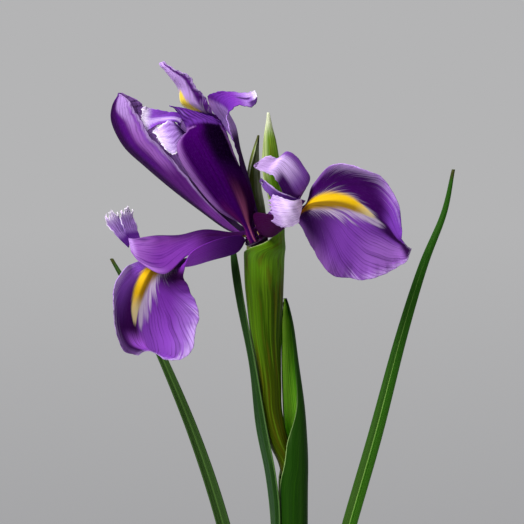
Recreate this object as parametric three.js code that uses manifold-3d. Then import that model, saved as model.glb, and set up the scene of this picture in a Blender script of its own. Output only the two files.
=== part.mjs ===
// One cut iris stem in a plain glazed bud vase.
// Millimetres, +Z up, origin at the middle of the vase's foot, -Y towards the viewer.
import * as THREE from "three";
import { mergeVertices } from "three/addons/utils/BufferGeometryUtils.js";
import Module from "manifold-3d";

const wasm = await Module();
wasm.setup();

// Driving dimensions
const VASE_HEIGHT = 140;
const VASE_WALL = 3;
const FOOT_RADIUS = 27;
const BELLY_RADIUS = 38;
const NECK_RADIUS = 19.5;
const LIP_RADIUS = 22;
const WATER_LEVEL = 70;
const PETAL_THICKNESS = 0.75;
const LEAF_THICKNESS = 0.8;
const SEAT_GAP = 0.3;

// The flower sits on its tube, 283 mm up, and leans left and towards the viewer.
const FLOWER_BASE = new THREE.Vector3(-10, -10.5, 283);
const FLOWER_AXIS = new THREE.Vector3(-0.46, -0.3, 0.835).normalize();
const RECEPTACLE_RADIUS = 4.9;
const PETAL_RING = 4.1;
const STYLE_RING = 1.7;
const STAMEN_RING = 2.9;

// Compass of the flower: zero is the left fall, and angles grow towards the viewer.
const towardsLeftFall = new THREE.Vector3(-0.855, -0.106, -0.508);
towardsLeftFall.addScaledVector(FLOWER_AXIS, -towardsLeftFall.dot(FLOWER_AXIS)).normalize();
const towardsViewer = new THREE.Vector3().crossVectors(FLOWER_AXIS, towardsLeftFall);

const group = new THREE.Group();

function finish(color, roughness) {
  return new THREE.MeshStandardMaterial({ color, roughness, metalness: 0 });
}

const violet = finish(0x5a2a9a, 0.55);
const deepViolet = finish(0x34105c, 0.5);
const lilac = finish(0xb98ae0, 0.55);
const leafGreen = finish(0x3d6a1e, 0.5);
const darkGreen = finish(0x2b4a20, 0.5);
const spatheGreen = finish(0x5f8a24, 0.55);
const anther = finish(0xe8c860, 0.7);
const glaze = finish(0xe9e6df, 0.25);
const water = finish(0xcfdde0, 0.05);

function addMesh(name, geometry, material) {
  const mesh = new THREE.Mesh(geometry, material);
  mesh.name = name;
  group.add(mesh);
  return mesh;
}

function smooth(from, to, value) {
  return THREE.MathUtils.smoothstep(value, from, to);
}

// A smooth curve through [x, y, z] points.
function splineThrough(points) {
  const vectors = points.map(([x, y, z]) => new THREE.Vector3(x, y, z));
  return new THREE.CatmullRomCurve3(vectors, false, "catmullrom", 0.5);
}

// A closed solid from a surface point(u, v): two skins, split into triangles alike, and a rim.
function shell(point, along, across, thickness) {
  const small = 1e-3;
  const positions = [];
  for (const side of [0.5, -0.5]) {
    for (let i = 0; i <= along; i++) {
      for (let j = 0; j <= across; j++) {
        const u = i / along;
        const v = (2 * j) / across - 1;
        const u0 = Math.max(0, u - small);
        const u1 = Math.min(1, u + small);
        const v0 = Math.max(-1, v - small);
        const v1 = Math.min(1, v + small);
        const du = point(u1, v).sub(point(u0, v));
        const dv = point(u, v1).sub(point(u, v0));
        const normal = du.cross(dv).normalize();
        const p = point(u, v).addScaledVector(normal, side * thickness);
        positions.push(p.x, p.y, p.z);
      }
    }
  }
  const row = across + 1;
  const skin = (along + 1) * row;
  const index = [];
  for (let i = 0; i < along; i++) {
    for (let j = 0; j < across; j++) {
      const a = i * row + j;
      const b = a + row;
      index.push(a, b, b + 1, a, b + 1, a + 1);
      index.push(skin + a, skin + b + 1, skin + b, skin + a, skin + a + 1, skin + b + 1);
    }
  }
  function rim(from, to) {
    index.push(to, from, skin + from, to, skin + from, skin + to);
  }
  for (let i = 0; i < along; i++) {
    rim(i * row, (i + 1) * row);
    rim((i + 1) * row + across, i * row + across);
  }
  for (let j = 0; j < across; j++) {
    rim(j + 1, j);
    rim(along * row + j, along * row + j + 1);
  }
  const geometry = new THREE.BufferGeometry();
  geometry.setAttribute("position", new THREE.Float32BufferAttribute(positions, 3));
  geometry.setIndex(index);
  return geometry;
}

// A petal's surface from cross-sections, each one edge, the midrib and the other edge.
// ruffle waves its edges and ridge raises its midrib, both in millimetres.
function petalSurface(rows, options = {}) {
  const { ruffle = 0, waves = 6, from = 0.4, ridge = 0, ridgeFrom = 0.3, ridgeTo = 0.7 } = options;
  const rails = [0, 1, 2].map((k) => splineThrough(rows.map((row) => row[k])));
  const step = 1 / (rows.length - 1);
  return (u, v) => {
    const [edge, rib, other] = rails.map((rail) => rail.getPoint(u));
    const half = other.clone().sub(edge).multiplyScalar(0.5);
    const cup = edge.clone().add(other).multiplyScalar(0.5).sub(rib);
    const p = rib.clone().addScaledVector(half, v).addScaledVector(cup, v * v);
    if (ruffle || ridge) {
      const ahead = rails[1].getPoint(Math.min(1, u + step));
      ahead.sub(rails[1].getPoint(Math.max(0, u - step)));
      const normal = ahead.cross(half).normalize();
      const wave = Math.sin(2 * Math.PI * waves * u + (v > 0 ? 1.3 : 0));
      p.addScaledVector(normal, ruffle * Math.abs(v) ** 3 * wave * smooth(from, from + 0.15, u));
      const along = smooth(ridgeFrom, ridgeFrom + 0.12, u) * (1 - smooth(ridgeTo - 0.2, ridgeTo, u));
      p.addScaledVector(normal, ridge * Math.exp(-((v / 0.16) ** 2)) * along);
    }
    return p;
  };
}

// Two cross-sections of a petal's claw on the receptacle, at a compass angle in degrees.
// The claw stands up along the flower's axis by its rise before the petal bends outwards.
function claw(angle, radius, halfWidth, rise) {
  const turn = THREE.MathUtils.degToRad(angle);
  const out = towardsLeftFall.clone().multiplyScalar(Math.cos(turn));
  out.addScaledVector(towardsViewer, Math.sin(turn));
  const side = new THREE.Vector3().crossVectors(FLOWER_AXIS, out);
  return [SEAT_GAP + 0.05, rise].map((lift) => {
    const centre = FLOWER_AXIS.clone().multiplyScalar(lift).addScaledVector(out, radius);
    return [-halfWidth, 0, halfWidth].map((w) => centre.clone().addScaledVector(side, w).toArray());
  });
}

// Millimetres from the flower's base, moved to the part's frame.
function onFlower(rows) {
  const move = (point) => new THREE.Vector3(...point).add(FLOWER_BASE).toArray();
  return rows.map((row) => row.map(move));
}

function petal(angle, radius, halfWidth, rows, options = {}) {
  const all = onFlower([...claw(angle, radius, halfWidth, options.rise), ...rows]);
  return shell(petalSurface(all, options), options.along, options.across, PETAL_THICKNESS);
}

function toSolid(geometry) {
  const clean = geometry.clone();
  clean.deleteAttribute("normal");
  clean.deleteAttribute("uv");
  const merged = mergeVertices(clean, 1e-5);
  const mesh = new wasm.Mesh({
    numProp: 3,
    vertProperties: new Float32Array(merged.attributes.position.array),
    triVerts: new Uint32Array(merged.index.array),
  });
  return new wasm.Manifold(mesh);
}

function fromSolid(solid) {
  const mesh = solid.getMesh();
  const geometry = new THREE.BufferGeometry();
  geometry.setAttribute("position", new THREE.Float32BufferAttribute(mesh.vertProperties, 3));
  geometry.setIndex(Array.from(mesh.triVerts));
  return geometry;
}

// Falls: a narrow haft that widens to a broad hanging blade with a raised signal.
const fallOptions = { rise: 1.6, along: 20, across: 8, ruffle: 0.9, waves: 7, from: 0.45, ridge: 1.2 };

function buildFalls() {
  const left = petal(0, PETAL_RING, 1.6, [
    [[-7.6, 3.2, -1.4], [-7.4, -1.2, -5.1], [-6.8, -6.4, 1]],
    [[-17, 5, -4.2], [-17, -3.5, -8], [-16.5, -13, -1.1]],
    [[-26, 4.2, -7.4], [-25, -6, -10.2], [-24, -17, -5.4]],
    [[-36, -1.5, -7.8], [-33, -8.5, -10.4], [-26.5, -15.9, -12.4]],
    [[-45, -11.5, -9], [-38.5, -10.5, -12.5], [-26, -13.5, -15.5]],
    [[-50, -20.5, -14], [-42, -11.5, -18], [-23.5, -13.5, -20]],
    [[-52, -24.5, -22.5], [-44, -11.5, -25], [-21, -13.5, -26.5]],
    [[-51, -24.5, -32], [-44, -10.5, -32.5], [-22, -13.5, -36]],
    [[-48.5, -20.5, -40.5], [-42, -8.5, -38.5], [-26.5, -11.5, -44]],
    [[-43, -14.5, -42.5], [-39, -6.5, -41], [-34.5, -8.5, -44]],
  ], { ...fallOptions, ridgeFrom: 0.42, ridgeTo: 0.85 });
  addMesh("fall_left", left, violet);

  const right = petal(120, PETAL_RING, -1.6, [
    [[8, -4.5, 7], [4.6, -8.8, 0.4], [-1.2, -9.2, 8.6]],
    [[13.2, -12.6, 10], [9.9, -16.7, 4], [5.2, -17.8, 8.6]],
    [[18, -21.8, 12.6], [14.8, -25, 8], [12.2, -26.4, 7.2]],
    [[20, -33, 19], [19.5, -32.5, 12], [15.5, -32.5, 4.5]],
    [[26.5, -44.5, 26], [26, -35.5, 13.5], [19.5, -33.5, -3.5]],
    [[35, -48.5, 25.5], [33, -36.5, 12.5], [25, -33.5, -12]],
    [[44, -47.5, 22], [39.5, -35.5, 9], [34.5, -31.5, -15.5]],
    [[50.5, -42.5, 13], [46, -32.5, 4.5], [45.5, -28.5, -13.5]],
    [[52, -35.5, 2.5], [50.5, -29.5, -0.5], [53.5, -26.5, -9]],
    [[52, -29.5, -0.5], [53.5, -28.5, -2.5], [55.5, -26.5, -4.5]],
  ], { ...fallOptions, ridge: -1.2, ridgeFrom: 0.38, ridgeTo: 0.85 });
  addMesh("fall_right", right, violet);

  const rear = petal(240, PETAL_RING, -1.6, [
    [[-5.3, 7.7, 8.1], [-3.5, 7.5, 9], [-1.7, 7.2, 9.9]],
    [[-10.7, 12.9, 18.2], [-8, 12.5, 19.5], [-5.3, 12.1, 20.8]],
    [[-15.1, 17.9, 28.5], [-12, 17.5, 30], [-8.9, 17.1, 31.5]],
    [[-19.5, 21.5, 36], [-15.5, 21, 38], [-11.5, 20, 40]],
    [[-22, 22.5, 44], [-20, 24.5, 45], [-14.5, 15.5, 44]],
    [[-24.5, 26.5, 48], [-27.2, 22, 49.4], [-18, 13.5, 49.5]],
    [[-26.5, 27.5, 54], [-28.5, 20.5, 55], [-22, 12.5, 55.5]],
    [[-30, 26.5, 59], [-31.5, 19.5, 59], [-27, 12.5, 60.5]],
    [[-35.3, 20.8, 63.9], [-35.9, 19.4, 64.1], [-34.6, 18, 64.4]],
  ], { ...fallOptions, ridge: 0, ruffle: 0.5 });
  addMesh("fall_rear", rear, violet);
}

// Standards: upright boat-shaped petals, two of them with turned tips.
const standardOptions = { rise: 2.8, along: 14, across: 6, ruffle: 0.5, waves: 4, from: 0.6 };

function buildStandards() {
  const front = petal(60, PETAL_RING, 1.6, [
    [[-5.5, -1.5, 4.8], [-4, -5.5, 5], [-2, -3.5, 5.5]],
    [[-14, 0.5, 10], [-8.5, -9.5, 14], [-1, -1.5, 13]],
    [[-21.5, 1.5, 18.5], [-13, -12.5, 23], [-4, 0.5, 21]],
    [[-27.5, 1.5, 27.5], [-17, -12.5, 31], [-7.5, 3.5, 28.5]],
    [[-29, 2.5, 34], [-20, -9.5, 37], [-10, 6.5, 35]],
    [[-25.5, 3.5, 39.5], [-20, -4.5, 41], [-12.5, 8.5, 40.5]],
    [[-28, 6.5, 44.5], [-23.5, 1.5, 45.5], [-15, 10.5, 43]],
    [[-32, 9.5, 48.5], [-30.5, 5.5, 48], [-26.5, 11.5, 48]],
  ], standardOptions);
  addMesh("standard_front", front, deepViolet);

  const left = petal(300, PETAL_RING, -1.6, [
    [[-9, 3.5, 4.5], [-10.5, 8.5, 3], [-7.5, 12.5, 6]],
    [[-18.5, 4.5, 13.5], [-20.5, 12.5, 10], [-15.5, 18.5, 15.5]],
    [[-26.5, 5.5, 23.5], [-31, 14.5, 18], [-23, 22.5, 25.5]],
    [[-34, 5.5, 32], [-41, 16.5, 26.5], [-29.5, 25.5, 34.5]],
    [[-40, 5.5, 38], [-48.5, 17.5, 33.5], [-36, 26.5, 40]],
    [[-43, 7.5, 44.5], [-53, 18.5, 42], [-40, 25.5, 46]],
    [[-46.5, 10.5, 49.5], [-53, 18.5, 48], [-44, 22.5, 50.5]],
    [[-49.5, 15.5, 52.5], [-50.5, 17.5, 53], [-49, 19.5, 53]],
  ], standardOptions);
  addMesh("standard_left", left, violet);

  const right = petal(180, PETAL_RING, 1.6, [
    [[-0.5, 1, 9], [0.5, 4, 8], [-1.2, 5, 9.6]],
    [[-4.5, 3, 19.5], [-2.5, 7, 19.5], [-3.6, 10, 20.6]],
    [[-7.2, 5.2, 31.5], [-6, 13, 32], [-7.8, 18.5, 34]],
    [[-10, 6.5, 39.5], [-8, 19, 41], [-13.5, 26, 42.5]],
    [[-11, 7.5, 45], [-11.5, 17.5, 48], [-18.3, 23.5, 51.4]],
    [[-7.5, 6.5, 48], [-8.5, 15.5, 51], [-13, 20.5, 53.5]],
    [[-2.5, 6.5, 48], [-3.5, 12.5, 50.5], [-4.5, 16.5, 53.5]],
    [[0, 7.5, 50.5], [0, 9.5, 52], [-0.5, 11.5, 53.5]],
  ], standardOptions);
  addMesh("standard_right", right, violet);
}

// Style arms: arched over the hafts, each ending in two upturned crests sunk into its lip.
// The right one also has a narrow fold above its lower crest.
function styleWithCrests(arm, crests) {
  let solid = toSolid(arm);
  for (const rows of crests) {
    const options = { ruffle: 0.5, waves: 3, from: 0.3 };
    const crest = shell(petalSurface(onFlower(rows), options), 6, 5, PETAL_THICKNESS);
    solid = solid.add(toSolid(crest));
  }
  return fromSolid(solid);
}

const styleOptions = { rise: 4, along: 10, across: 6 };

function buildStyles() {
  const leftArm = petal(0, STYLE_RING, 0.8, [
    [[-9, 2.8, -0.4], [-9, -1.5, 2], [-8, -4.4, -0.8]],
    [[-18, 4, -1.6], [-19, -3.5, 3], [-17, -10, -2.4]],
    [[-26.5, 3.6, -4.4], [-28, -5.5, 1], [-25.5, -13.8, -6.6]],
    [[-34.5, 0.8, -6.2], [-37, -8.5, 0.5], [-33.5, -17.4, -13]],
    [[-42.5, -3.5, -4.5], [-44, -11.5, -0.5], [-42, -18.5, -9]],
    [[-46, -9.5, -1], [-46.5, -12.5, -0.5], [-45.5, -17.5, -5]],
  ], styleOptions);
  addMesh("style_left", styleWithCrests(leftArm, [
    [
      [[-45.5, -10.5, 0], [-46, -11.5, -1.5], [-46.5, -13.5, -3.5]],
      [[-47.5, -8.5, 3.5], [-49.5, -11.5, 1.5], [-51.5, -14.5, 1.5]],
      [[-50, -9.5, 8], [-52.5, -13.5, 7], [-55, -15.5, 6]],
      [[-52, -11.5, 11], [-53.5, -13.5, 10], [-54.5, -14.5, 9]],
    ],
    [
      [[-42.5, -7.5, 0], [-44, -9.5, -0.5], [-45.5, -11.5, -1.5]],
      [[-43.5, -4.5, 3.5], [-46.5, -8.5, 3.5], [-48.5, -11.5, 3.5]],
      [[-45, -4.5, 9], [-47.5, -8.5, 8.5], [-49.5, -11.5, 8.5]],
      [[-46, -6.5, 12], [-47.5, -8.5, 11.5], [-49.5, -9.5, 10]],
    ],
  ]), lilac);

  const rightArm = petal(120, STYLE_RING, -0.8, [
    [[4.2, -6.3, 6.9], [2.8, -7.2, 7.6], [2.9, -7.7, 6]],
    [[9.9, -14.3, 11], [6.8, -16, 11.6], [6.9, -17, 8.8]],
    [[15.2, -22.4, 14.2], [11, -25, 15], [11.2, -27, 10.4]],
    [[17.6, -31.2, 17.8], [15.6, -32.4, 15.6], [14.5, -33.5, 9.8]],
  ], styleOptions);
  addMesh("style_right", styleWithCrests(rightArm, [
    [
      [[17.5, -30.6, 17.8], [16.4, -31.3, 16.2], [15.4, -31.8, 13.8]],
      [[19, -34.2, 21.9], [16, -36, 17.8], [10, -35.8, 14.6]],
      [[15.9, -35.5, 27.2], [12.6, -38.8, 22.8], [8, -40, 18]],
      [[11.3, -36.5, 31.2], [8.6, -40.5, 27], [6, -43.5, 22]],
      [[7.4, -38.4, 28.6], [4.8, -41.2, 26], [3, -44, 23]],
      [[3.6, -39.6, 29.4], [1.6, -42, 26.6], [0.6, -44, 24.4]],
      [[-1.2, -42, 26.2], [-1.4, -42.8, 25.8], [-1.2, -43.6, 25.2]],
    ],
    [
      [[15.3, -31.8, 14], [14.6, -32.2, 12.2], [14, -32.6, 10.2]],
      [[15.5, -36.5, 14], [16, -37.5, 11], [15, -37, 7.5]],
      [[12, -43.5, 13.5], [13, -45.5, 9.5], [14, -41.5, 4.5]],
      [[6.5, -43.5, 15.5], [7.5, -46.5, 9.5], [9.5, -43.5, 3.5]],
      [[4, -41.5, 16], [4, -44.5, 10.5], [5.5, -42.5, 5]],
    ],
    [
      [[17.4, -32.6, 13.4], [16.8, -33.2, 12.6], [16, -33.6, 11.6]],
      [[12.4, -39, 14.8], [11.8, -40.4, 13.8], [11, -41.4, 12]],
      [[6.8, -42, 17.4], [5.8, -43, 16.2], [5, -43.8, 14.6]],
      [[1.6, -40.5, 21.8], [1, -40.6, 21.2], [0.6, -40.8, 20.4]],
    ],
  ]), lilac);

  const rearArm = petal(240, STYLE_RING, -0.8, [
    [[-5.6, 6.3, 8.7], [-4.4, 4.8, 10], [-2.4, 5.8, 10.3]],
    [[-11.3, 11.1, 18.9], [-9.5, 8, 21.2], [-5.9, 10.3, 21.5]],
    [[-16.2, 15.8, 29], [-14, 11.2, 32.3], [-9.2, 14.8, 32.6]],
    [[-24, 13, 36], [-20.5, 12.5, 40], [-16.5, 15, 42]],
    [[-29.5, 9, 40], [-27.5, 11, 44], [-23.5, 13.5, 45.5]],
  ], styleOptions);
  addMesh("style_rear", styleWithCrests(rearArm, [
    [
      [[-28.3, 9.6, 41], [-27, 11, 43.3], [-24.5, 12.8, 44.8]],
      [[-30, 8.5, 42.5], [-30.5, 11, 44.2], [-29, 13, 46]],
      [[-35.5, 9.5, 41.5], [-35.5, 11.5, 44], [-34.5, 12.5, 46.5]],
      [[-40.5, 8.5, 39], [-40.5, 10.5, 43.5], [-40, 11.5, 48]],
      [[-42.5, 8.5, 40.5], [-42.5, 9.5, 44], [-42, 10.5, 48]],
    ],
    [
      [[-25.2, 12, 37.6], [-26.6, 11, 38.8], [-28, 10.1, 40]],
      [[-26, 7, 34.5], [-29, 6, 39], [-31.5, 6.6, 43]],
      [[-30, 4.4, 30.3], [-32.5, 4.5, 36], [-35.5, 6, 41]],
      [[-34.2, 4.3, 32.8], [-36.5, 4.8, 36], [-38.5, 5.5, 39]],
    ],
  ]), lilac);
}

// A round stalk through [x, y, z, radius] points, closed by flat ends.
function stalk(points, along, around) {
  const path = splineThrough(points);
  const sizes = splineThrough(points.map((p) => [p[3], 0, 0]));
  const positions = [];
  const index = [];
  for (let i = 0; i <= along; i++) {
    const u = i / along;
    const centre = path.getPoint(u);
    const ahead = path.getTangent(u);
    const right = new THREE.Vector3(0.3, 1, 0.2).cross(ahead).normalize();
    const up = new THREE.Vector3().crossVectors(ahead, right);
    const radius = sizes.getPoint(u).x;
    for (let j = 0; j < around; j++) {
      const turn = (2 * Math.PI * j) / around;
      const p = centre.clone().addScaledVector(right, radius * Math.cos(turn));
      p.addScaledVector(up, radius * Math.sin(turn));
      positions.push(p.x, p.y, p.z);
    }
  }
  for (let i = 0; i < along; i++) {
    for (let j = 0; j < around; j++) {
      const a = i * around + j;
      const b = i * around + ((j + 1) % around);
      index.push(a, b, b + around, a, b + around, a + around);
    }
  }
  const last = along * around;
  for (let j = 1; j < around - 1; j++) {
    index.push(0, j + 1, j);
    index.push(last, last + j, last + j + 1);
  }
  const geometry = new THREE.BufferGeometry();
  geometry.setAttribute("position", new THREE.Float32BufferAttribute(positions, 3));
  geometry.setIndex(index);
  return geometry;
}

// Stamens: a thin filament and a long anther, held between each style arm and its haft.
function buildStamens() {
  const routes = {
    left: [0, [[-9, -1.5, -0.6], [-18, -3.5, -2], [-26, -5.5, -3]], [-35, -8.5, -4]],
    right: [120, [[3.6, -8.1, 4.4], [8.1, -16.6, 7.7], [12.4, -25.1, 11.5]], [15.4, -30, 13]],
    rear: [240, [[-3.9, 6.1, 9.5], [-8.7, 10.3, 20.3], [-13, 14.4, 31.2]], [-16, 16.8, 36.5]],
  };
  for (const [name, [angle, filament, tip]] of Object.entries(routes)) {
    const seat = claw(angle, STAMEN_RING, 0, 2.8);
    const points = [seat[0][1], seat[1][1], ...filament, tip];
    const radii = [0.45, 0.45, 0.45, 0.5, 0.9, 0.5];
    const placed = points.map(([x, y, z], i) => [
      x + FLOWER_BASE.x,
      y + FLOWER_BASE.y,
      z + FLOWER_BASE.z,
      radii[i],
    ]);
    addMesh(`stamen_${name}`, stalk(placed, 12, 6), anther);
  }
}

// The ovary and the perianth tube, one piece from the stem's top to the flower.
const STEM_TOP = [2.4, 0, 196];

function buildFlowerStalk() {
  const at = (below) => FLOWER_BASE.clone().addScaledVector(FLOWER_AXIS, -below).toArray();
  const geometry = stalk([
    [STEM_TOP[0], STEM_TOP[1], STEM_TOP[2] + SEAT_GAP, 1.8],
    [2.2, 0, 199.5, 1.8],
    [-1.5, 0, 208, 1.8],
    [-5, 0, 221, 1.8],
    [-6, -0.3, 240, 2.8],
    [-6.6, -1.5, 258, 3],
    [-6.8, -4, 270, 2.3],
    [-7.3, -6.6, 276, 2.3],
    [...at(2.8), 3],
    [...at(0), RECEPTACLE_RADIUS],
  ], 20, 12);
  addMesh("flower_stalk", geometry, spatheGreen);
}

// The stem, from the foot of the vase to the top sheath.
const stemRoute = [
  [1.5, 0, 4.4, 4.1],
  [2.2, 0, 60, 4.1],
  [2.9, 0, 120, 4.1],
  [3.2, 0, 165, 4],
  [3.1, 0, 182, 3.8],
  [...STEM_TOP, 2.3],
];

function buildStem() {
  addMesh("stem", stalk(stemRoute, 14, 14), leafGreen);
}

// A sheath's surface from [x, y, z, radius, depth ratio, first angle, last angle] rows.
// Angles are in degrees: 0 is the right, 90 the back, 180 the left and 270 the viewer's side.
function sheathSurface(rows) {
  const centres = splineThrough(rows);
  const radii = splineThrough(rows.map((row) => [row[3], row[3] * row[4], 0]));
  const angles = splineThrough(rows.map((row) => [row[5], row[6], 0]));
  return (u, v) => {
    const radius = radii.getPoint(u);
    const ends = angles.getPoint(u);
    const angle = THREE.MathUtils.degToRad(THREE.MathUtils.lerp(ends.x, ends.y, (v + 1) / 2));
    const p = new THREE.Vector3(radius.x * Math.cos(angle), radius.y * Math.sin(angle), 0);
    return p.add(centres.getPoint(u));
  };
}

// The two spathe valves wrap the flower's stalk and end in long points.
function buildSpathe() {
  const outer = sheathSurface([
    [2.2, 0, 197, 3.1, 1, 165, 510],
    [0.8, 0, 202, 3.2, 1, 165, 505],
    [-2.4, 0, 209.5, 3.6, 1, 165, 495],
    [-4.9, 0, 220, 3.8, 1, 168, 480],
    [-5.4, 0, 229.5, 4, 1, 170, 470],
    [-6, 0, 238.5, 4.5, 1.05, 172, 445],
    [-6.8, -0.3, 248, 5.4, 1.15, 174, 432],
    [-7.2, -0.6, 260, 6.4, 1.28, 176, 430],
    [-7.4, -1, 266, 6.8, 1.38, 176, 428],
    [-7.4, -1.8, 271, 7, 1.46, 176, 428],
    [-7.4, -2.8, 275, 7.1, 1.55, 177, 428],
    [-7.4, -3.8, 277.6, 7.3, 1.62, 190, 428],
    [-7.4, -4.3, 279.2, 7.5, 1.65, 222, 428],
    [-7.4, -4.5, 280.8, 7.45, 1.65, 262, 428],
    [-7.4, -3.9, 282.4, 7.3, 1.6, 285, 428],
    [-7.4, -3, 284.2, 7.2, 1.5, 297, 428],
    [-7.4, -1.8, 286, 7.2, 1.38, 303, 428],
    [-7.4, -0.6, 290, 7.1, 1.2, 298, 428],
    [-7.4, 0, 297, 6.6, 1.05, 285, 428],
    [-7.2, 0.4, 307, 5.6, 1, 262, 430],
    [-6.6, 0.5, 317, 3.6, 1, 250, 430],
    [-6.1, 0.5, 323.5, 1.5, 1, 240, 430],
    [-6, 0.5, 328.8, 0.6, 1, 235, 425],
  ]);
  addMesh("spathe_outer", shell(outer, 24, 10, LEAF_THICKNESS), spatheGreen);

  const inner = sheathSurface([
    [-6.1, 0.6, 234, 3.1, 1.05, 136, 148],
    [-6.2, 0.6, 239, 3.3, 1.05, 112, 162],
    [-6.5, 0.6, 247, 4.1, 1.1, 93, 195],
    [-7, 0.6, 260, 5.3, 1.2, 82, 215],
    [-7.4, 1.2, 274, 6, 1.15, 80, 228],
    [-7.6, 2.5, 290, 6, 1, 80, 200],
    [-8.4, 3.5, 302, 5.4, 1, 90, 200],
    [-8.8, 3.5, 311, 3.8, 1, 95, 220],
    [-9.3, 3, 320.6, 0.6, 1, 100, 235],
  ]);
  addMesh("spathe_inner", shell(inner, 14, 6, LEAF_THICKNESS), darkGreen);
}

// The leaf that sheathes the stem and opens to the right of the spathe.
function buildSheathLeaf() {
  const surface = sheathSurface([
    [3, 0, 130, 5.05, 1, 200, 552],
    [3.2, 0, 155, 5.05, 1, 200, 552],
    [3.2, 0, 180, 5.05, 1, 200, 552],
    [3.2, 0, 192, 5.1, 1, 205, 545],
    [3.2, 0.2, 200, 5.2, 1.05, 232, 504],
    [3.3, 0.8, 209, 4.8, 1.2, 245, 478],
    [3.1, 1.5, 222, 4, 1, 290, 500],
    [1.8, 2.5, 238, 3.1, 1, 310, 492],
    [0.9, 3.2, 250, 2.4, 1, 315, 480],
    [0.3, 3.8, 257, 1.5, 1, 320, 470],
    [0, 4, 261, 0.6, 1, 325, 465],
  ]);
  addMesh("leaf_right_sheath", shell(surface, 22, 10, LEAF_THICKNESS), leafGreen);
}

// A long leaf from [x, y, z, half width, fold, turn] rows.
// fold sinks its midrib and turn faces it, in degrees about the vertical.
function leafRows(rows) {
  return rows.map(([x, y, z, half, fold, turn]) => {
    const angle = THREE.MathUtils.degToRad(turn);
    const side = [Math.cos(angle), Math.sin(angle)];
    return [
      [x - half * side[0], y - half * side[1], z],
      [x - fold * side[1], y + fold * side[0], z],
      [x + half * side[0], y + half * side[1], z],
    ];
  });
}

function buildLeaves() {
  const leaves = {
    leaf_far_left: [
      [-2.6, 0, 82, 2.6, -0.4, 90],
      [-4.2, 0.2, 98, 2.6, 0.2, 60],
      [-8.6, 1, 120, 2.6, 0.9, 25],
      [-13.6, 2.5, 142, 2.5, 1, 10],
      [-22.5, 5, 179, 2.4, 1, 5],
      [-33, 8.5, 211, 2.1, 0.9, 5],
      [-46, 13, 242, 1.5, 0.7, 5],
      [-57, 17, 264, 0.9, 0.4, 5],
      [-63.5, 19.5, 275.5, 0.4, 0.15, 5],
    ],
    leaf_left: [
      [-3.2, -0.3, 116, 3, -0.8, 268],
      [-3.35, -0.3, 134, 4.1, -1, 268],
      [-3.35, -0.3, 152, 4.1, -1, 268],
      [-3.3, -0.8, 166, 3.4, 0, 285],
      [-3.5, -2.3, 182, 2.4, 0.5, 316],
      [-5.2, -2.6, 197, 2.4, 0.6, 320],
      [-8.7, -3.2, 215, 2.5, 0.6, 318],
      [-11.8, -3.4, 237, 1.5, 0.5, 318],
      [-16, -1.5, 259, 1.4, 0.4, 335],
      [-18, 0.5, 272, 1.3, 0.3, 345],
      [-19, 2, 281, 0.5, 0.15, 350],
    ],
    leaf_far_right: [
      [7.6, 0.5, 82, 2.6, -0.6, 90],
      [8.4, 0.5, 98, 2.6, 0.2, 120],
      [10.8, 0, 120, 2.6, 0.8, 150],
      [13.6, -1, 142, 2.6, 1.2, 172],
      [23.8, -3, 179, 2.6, 1.3, 175],
      [33, -5, 211, 2.5, 1.3, 175],
      [42.5, -7, 247, 2, 1.1, 175],
      [50.5, -8, 273, 1.5, 0.8, 175],
      [58, -8.5, 292, 0.9, 0.4, 175],
      [61.5, -8.5, 308, 0.35, 0.15, 175],
    ],
  };
  for (const [name, rows] of Object.entries(leaves)) {
    const geometry = shell(petalSurface(leafRows(rows)), 24, 2, LEAF_THICKNESS);
    addMesh(name, geometry, name === "leaf_far_right" ? leafGreen : darkGreen);
  }
}

// The vase is a lathe-turned shell: foot, belly, neck and a turned-out lip.
const vaseShape = [
  [FOOT_RADIUS, 0],
  [30.5, 8],
  [36.5, 28],
  [BELLY_RADIUS, 50],
  [34.5, 73],
  [27.5, 93],
  [21.5, 110],
  [NECK_RADIUS, 126],
  [LIP_RADIUS, VASE_HEIGHT],
];
const VASE_FLOOR = 4;
const VASE_SIDES = 32;

// The vase's outline moved in by an inset, from a floor up to a level.
function vaseOutline(inset, floor, level) {
  const curve = new THREE.SplineCurve(vaseShape.map(([r, z]) => new THREE.Vector2(r - inset, z)));
  const points = curve.getPoints(14);
  const inside = points.filter((p) => p.y > floor + 1 && p.y < level - 1);
  const at = (z) => {
    const above = points.findIndex((p) => p.y >= z);
    const [low, high] = [points[Math.max(0, above - 1)], points[above]];
    const part = above === 0 ? 0 : (z - low.y) / (high.y - low.y);
    return new THREE.Vector2(low.x + (high.x - low.x) * part, z);
  };
  return [at(floor), ...inside, at(level)];
}

function turned(outline, bottom, top) {
  const profile = [new THREE.Vector2(0, bottom), ...outline, new THREE.Vector2(0, top)];
  const lathe = new THREE.LatheGeometry(profile, VASE_SIDES);
  lathe.rotateX(Math.PI / 2);
  return fromSolid(toSolid(lathe));
}

function buildVase() {
  const outside = vaseOutline(0, 0, VASE_HEIGHT);
  const inside = vaseOutline(VASE_WALL, VASE_FLOOR, VASE_HEIGHT);
  addMesh("vase", turned([...outside, ...inside.reverse()], 0, VASE_FLOOR), glaze);

  const wet = vaseOutline(VASE_WALL + SEAT_GAP, VASE_FLOOR + SEAT_GAP, WATER_LEVEL);
  const filled = turned(wet, VASE_FLOOR + SEAT_GAP, WATER_LEVEL);
  const hole = stalk(stemRoute.map(([x, y, z, r]) => [x, y, z - 1, r + SEAT_GAP]), 14, 14);
  addMesh("water", fromSolid(toSolid(filled).subtract(toSolid(hole))), water);
}

buildVase();
buildStem();
buildLeaves();
buildSheathLeaf();
buildSpathe();
buildFlowerStalk();
buildFalls();
buildStandards();
buildStyles();
buildStamens();

export default group;
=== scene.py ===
"""One cut iris stem in a glazed bud vase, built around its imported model. Metres, +Z up, -Y to the viewer."""

from math import pi, radians

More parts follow.
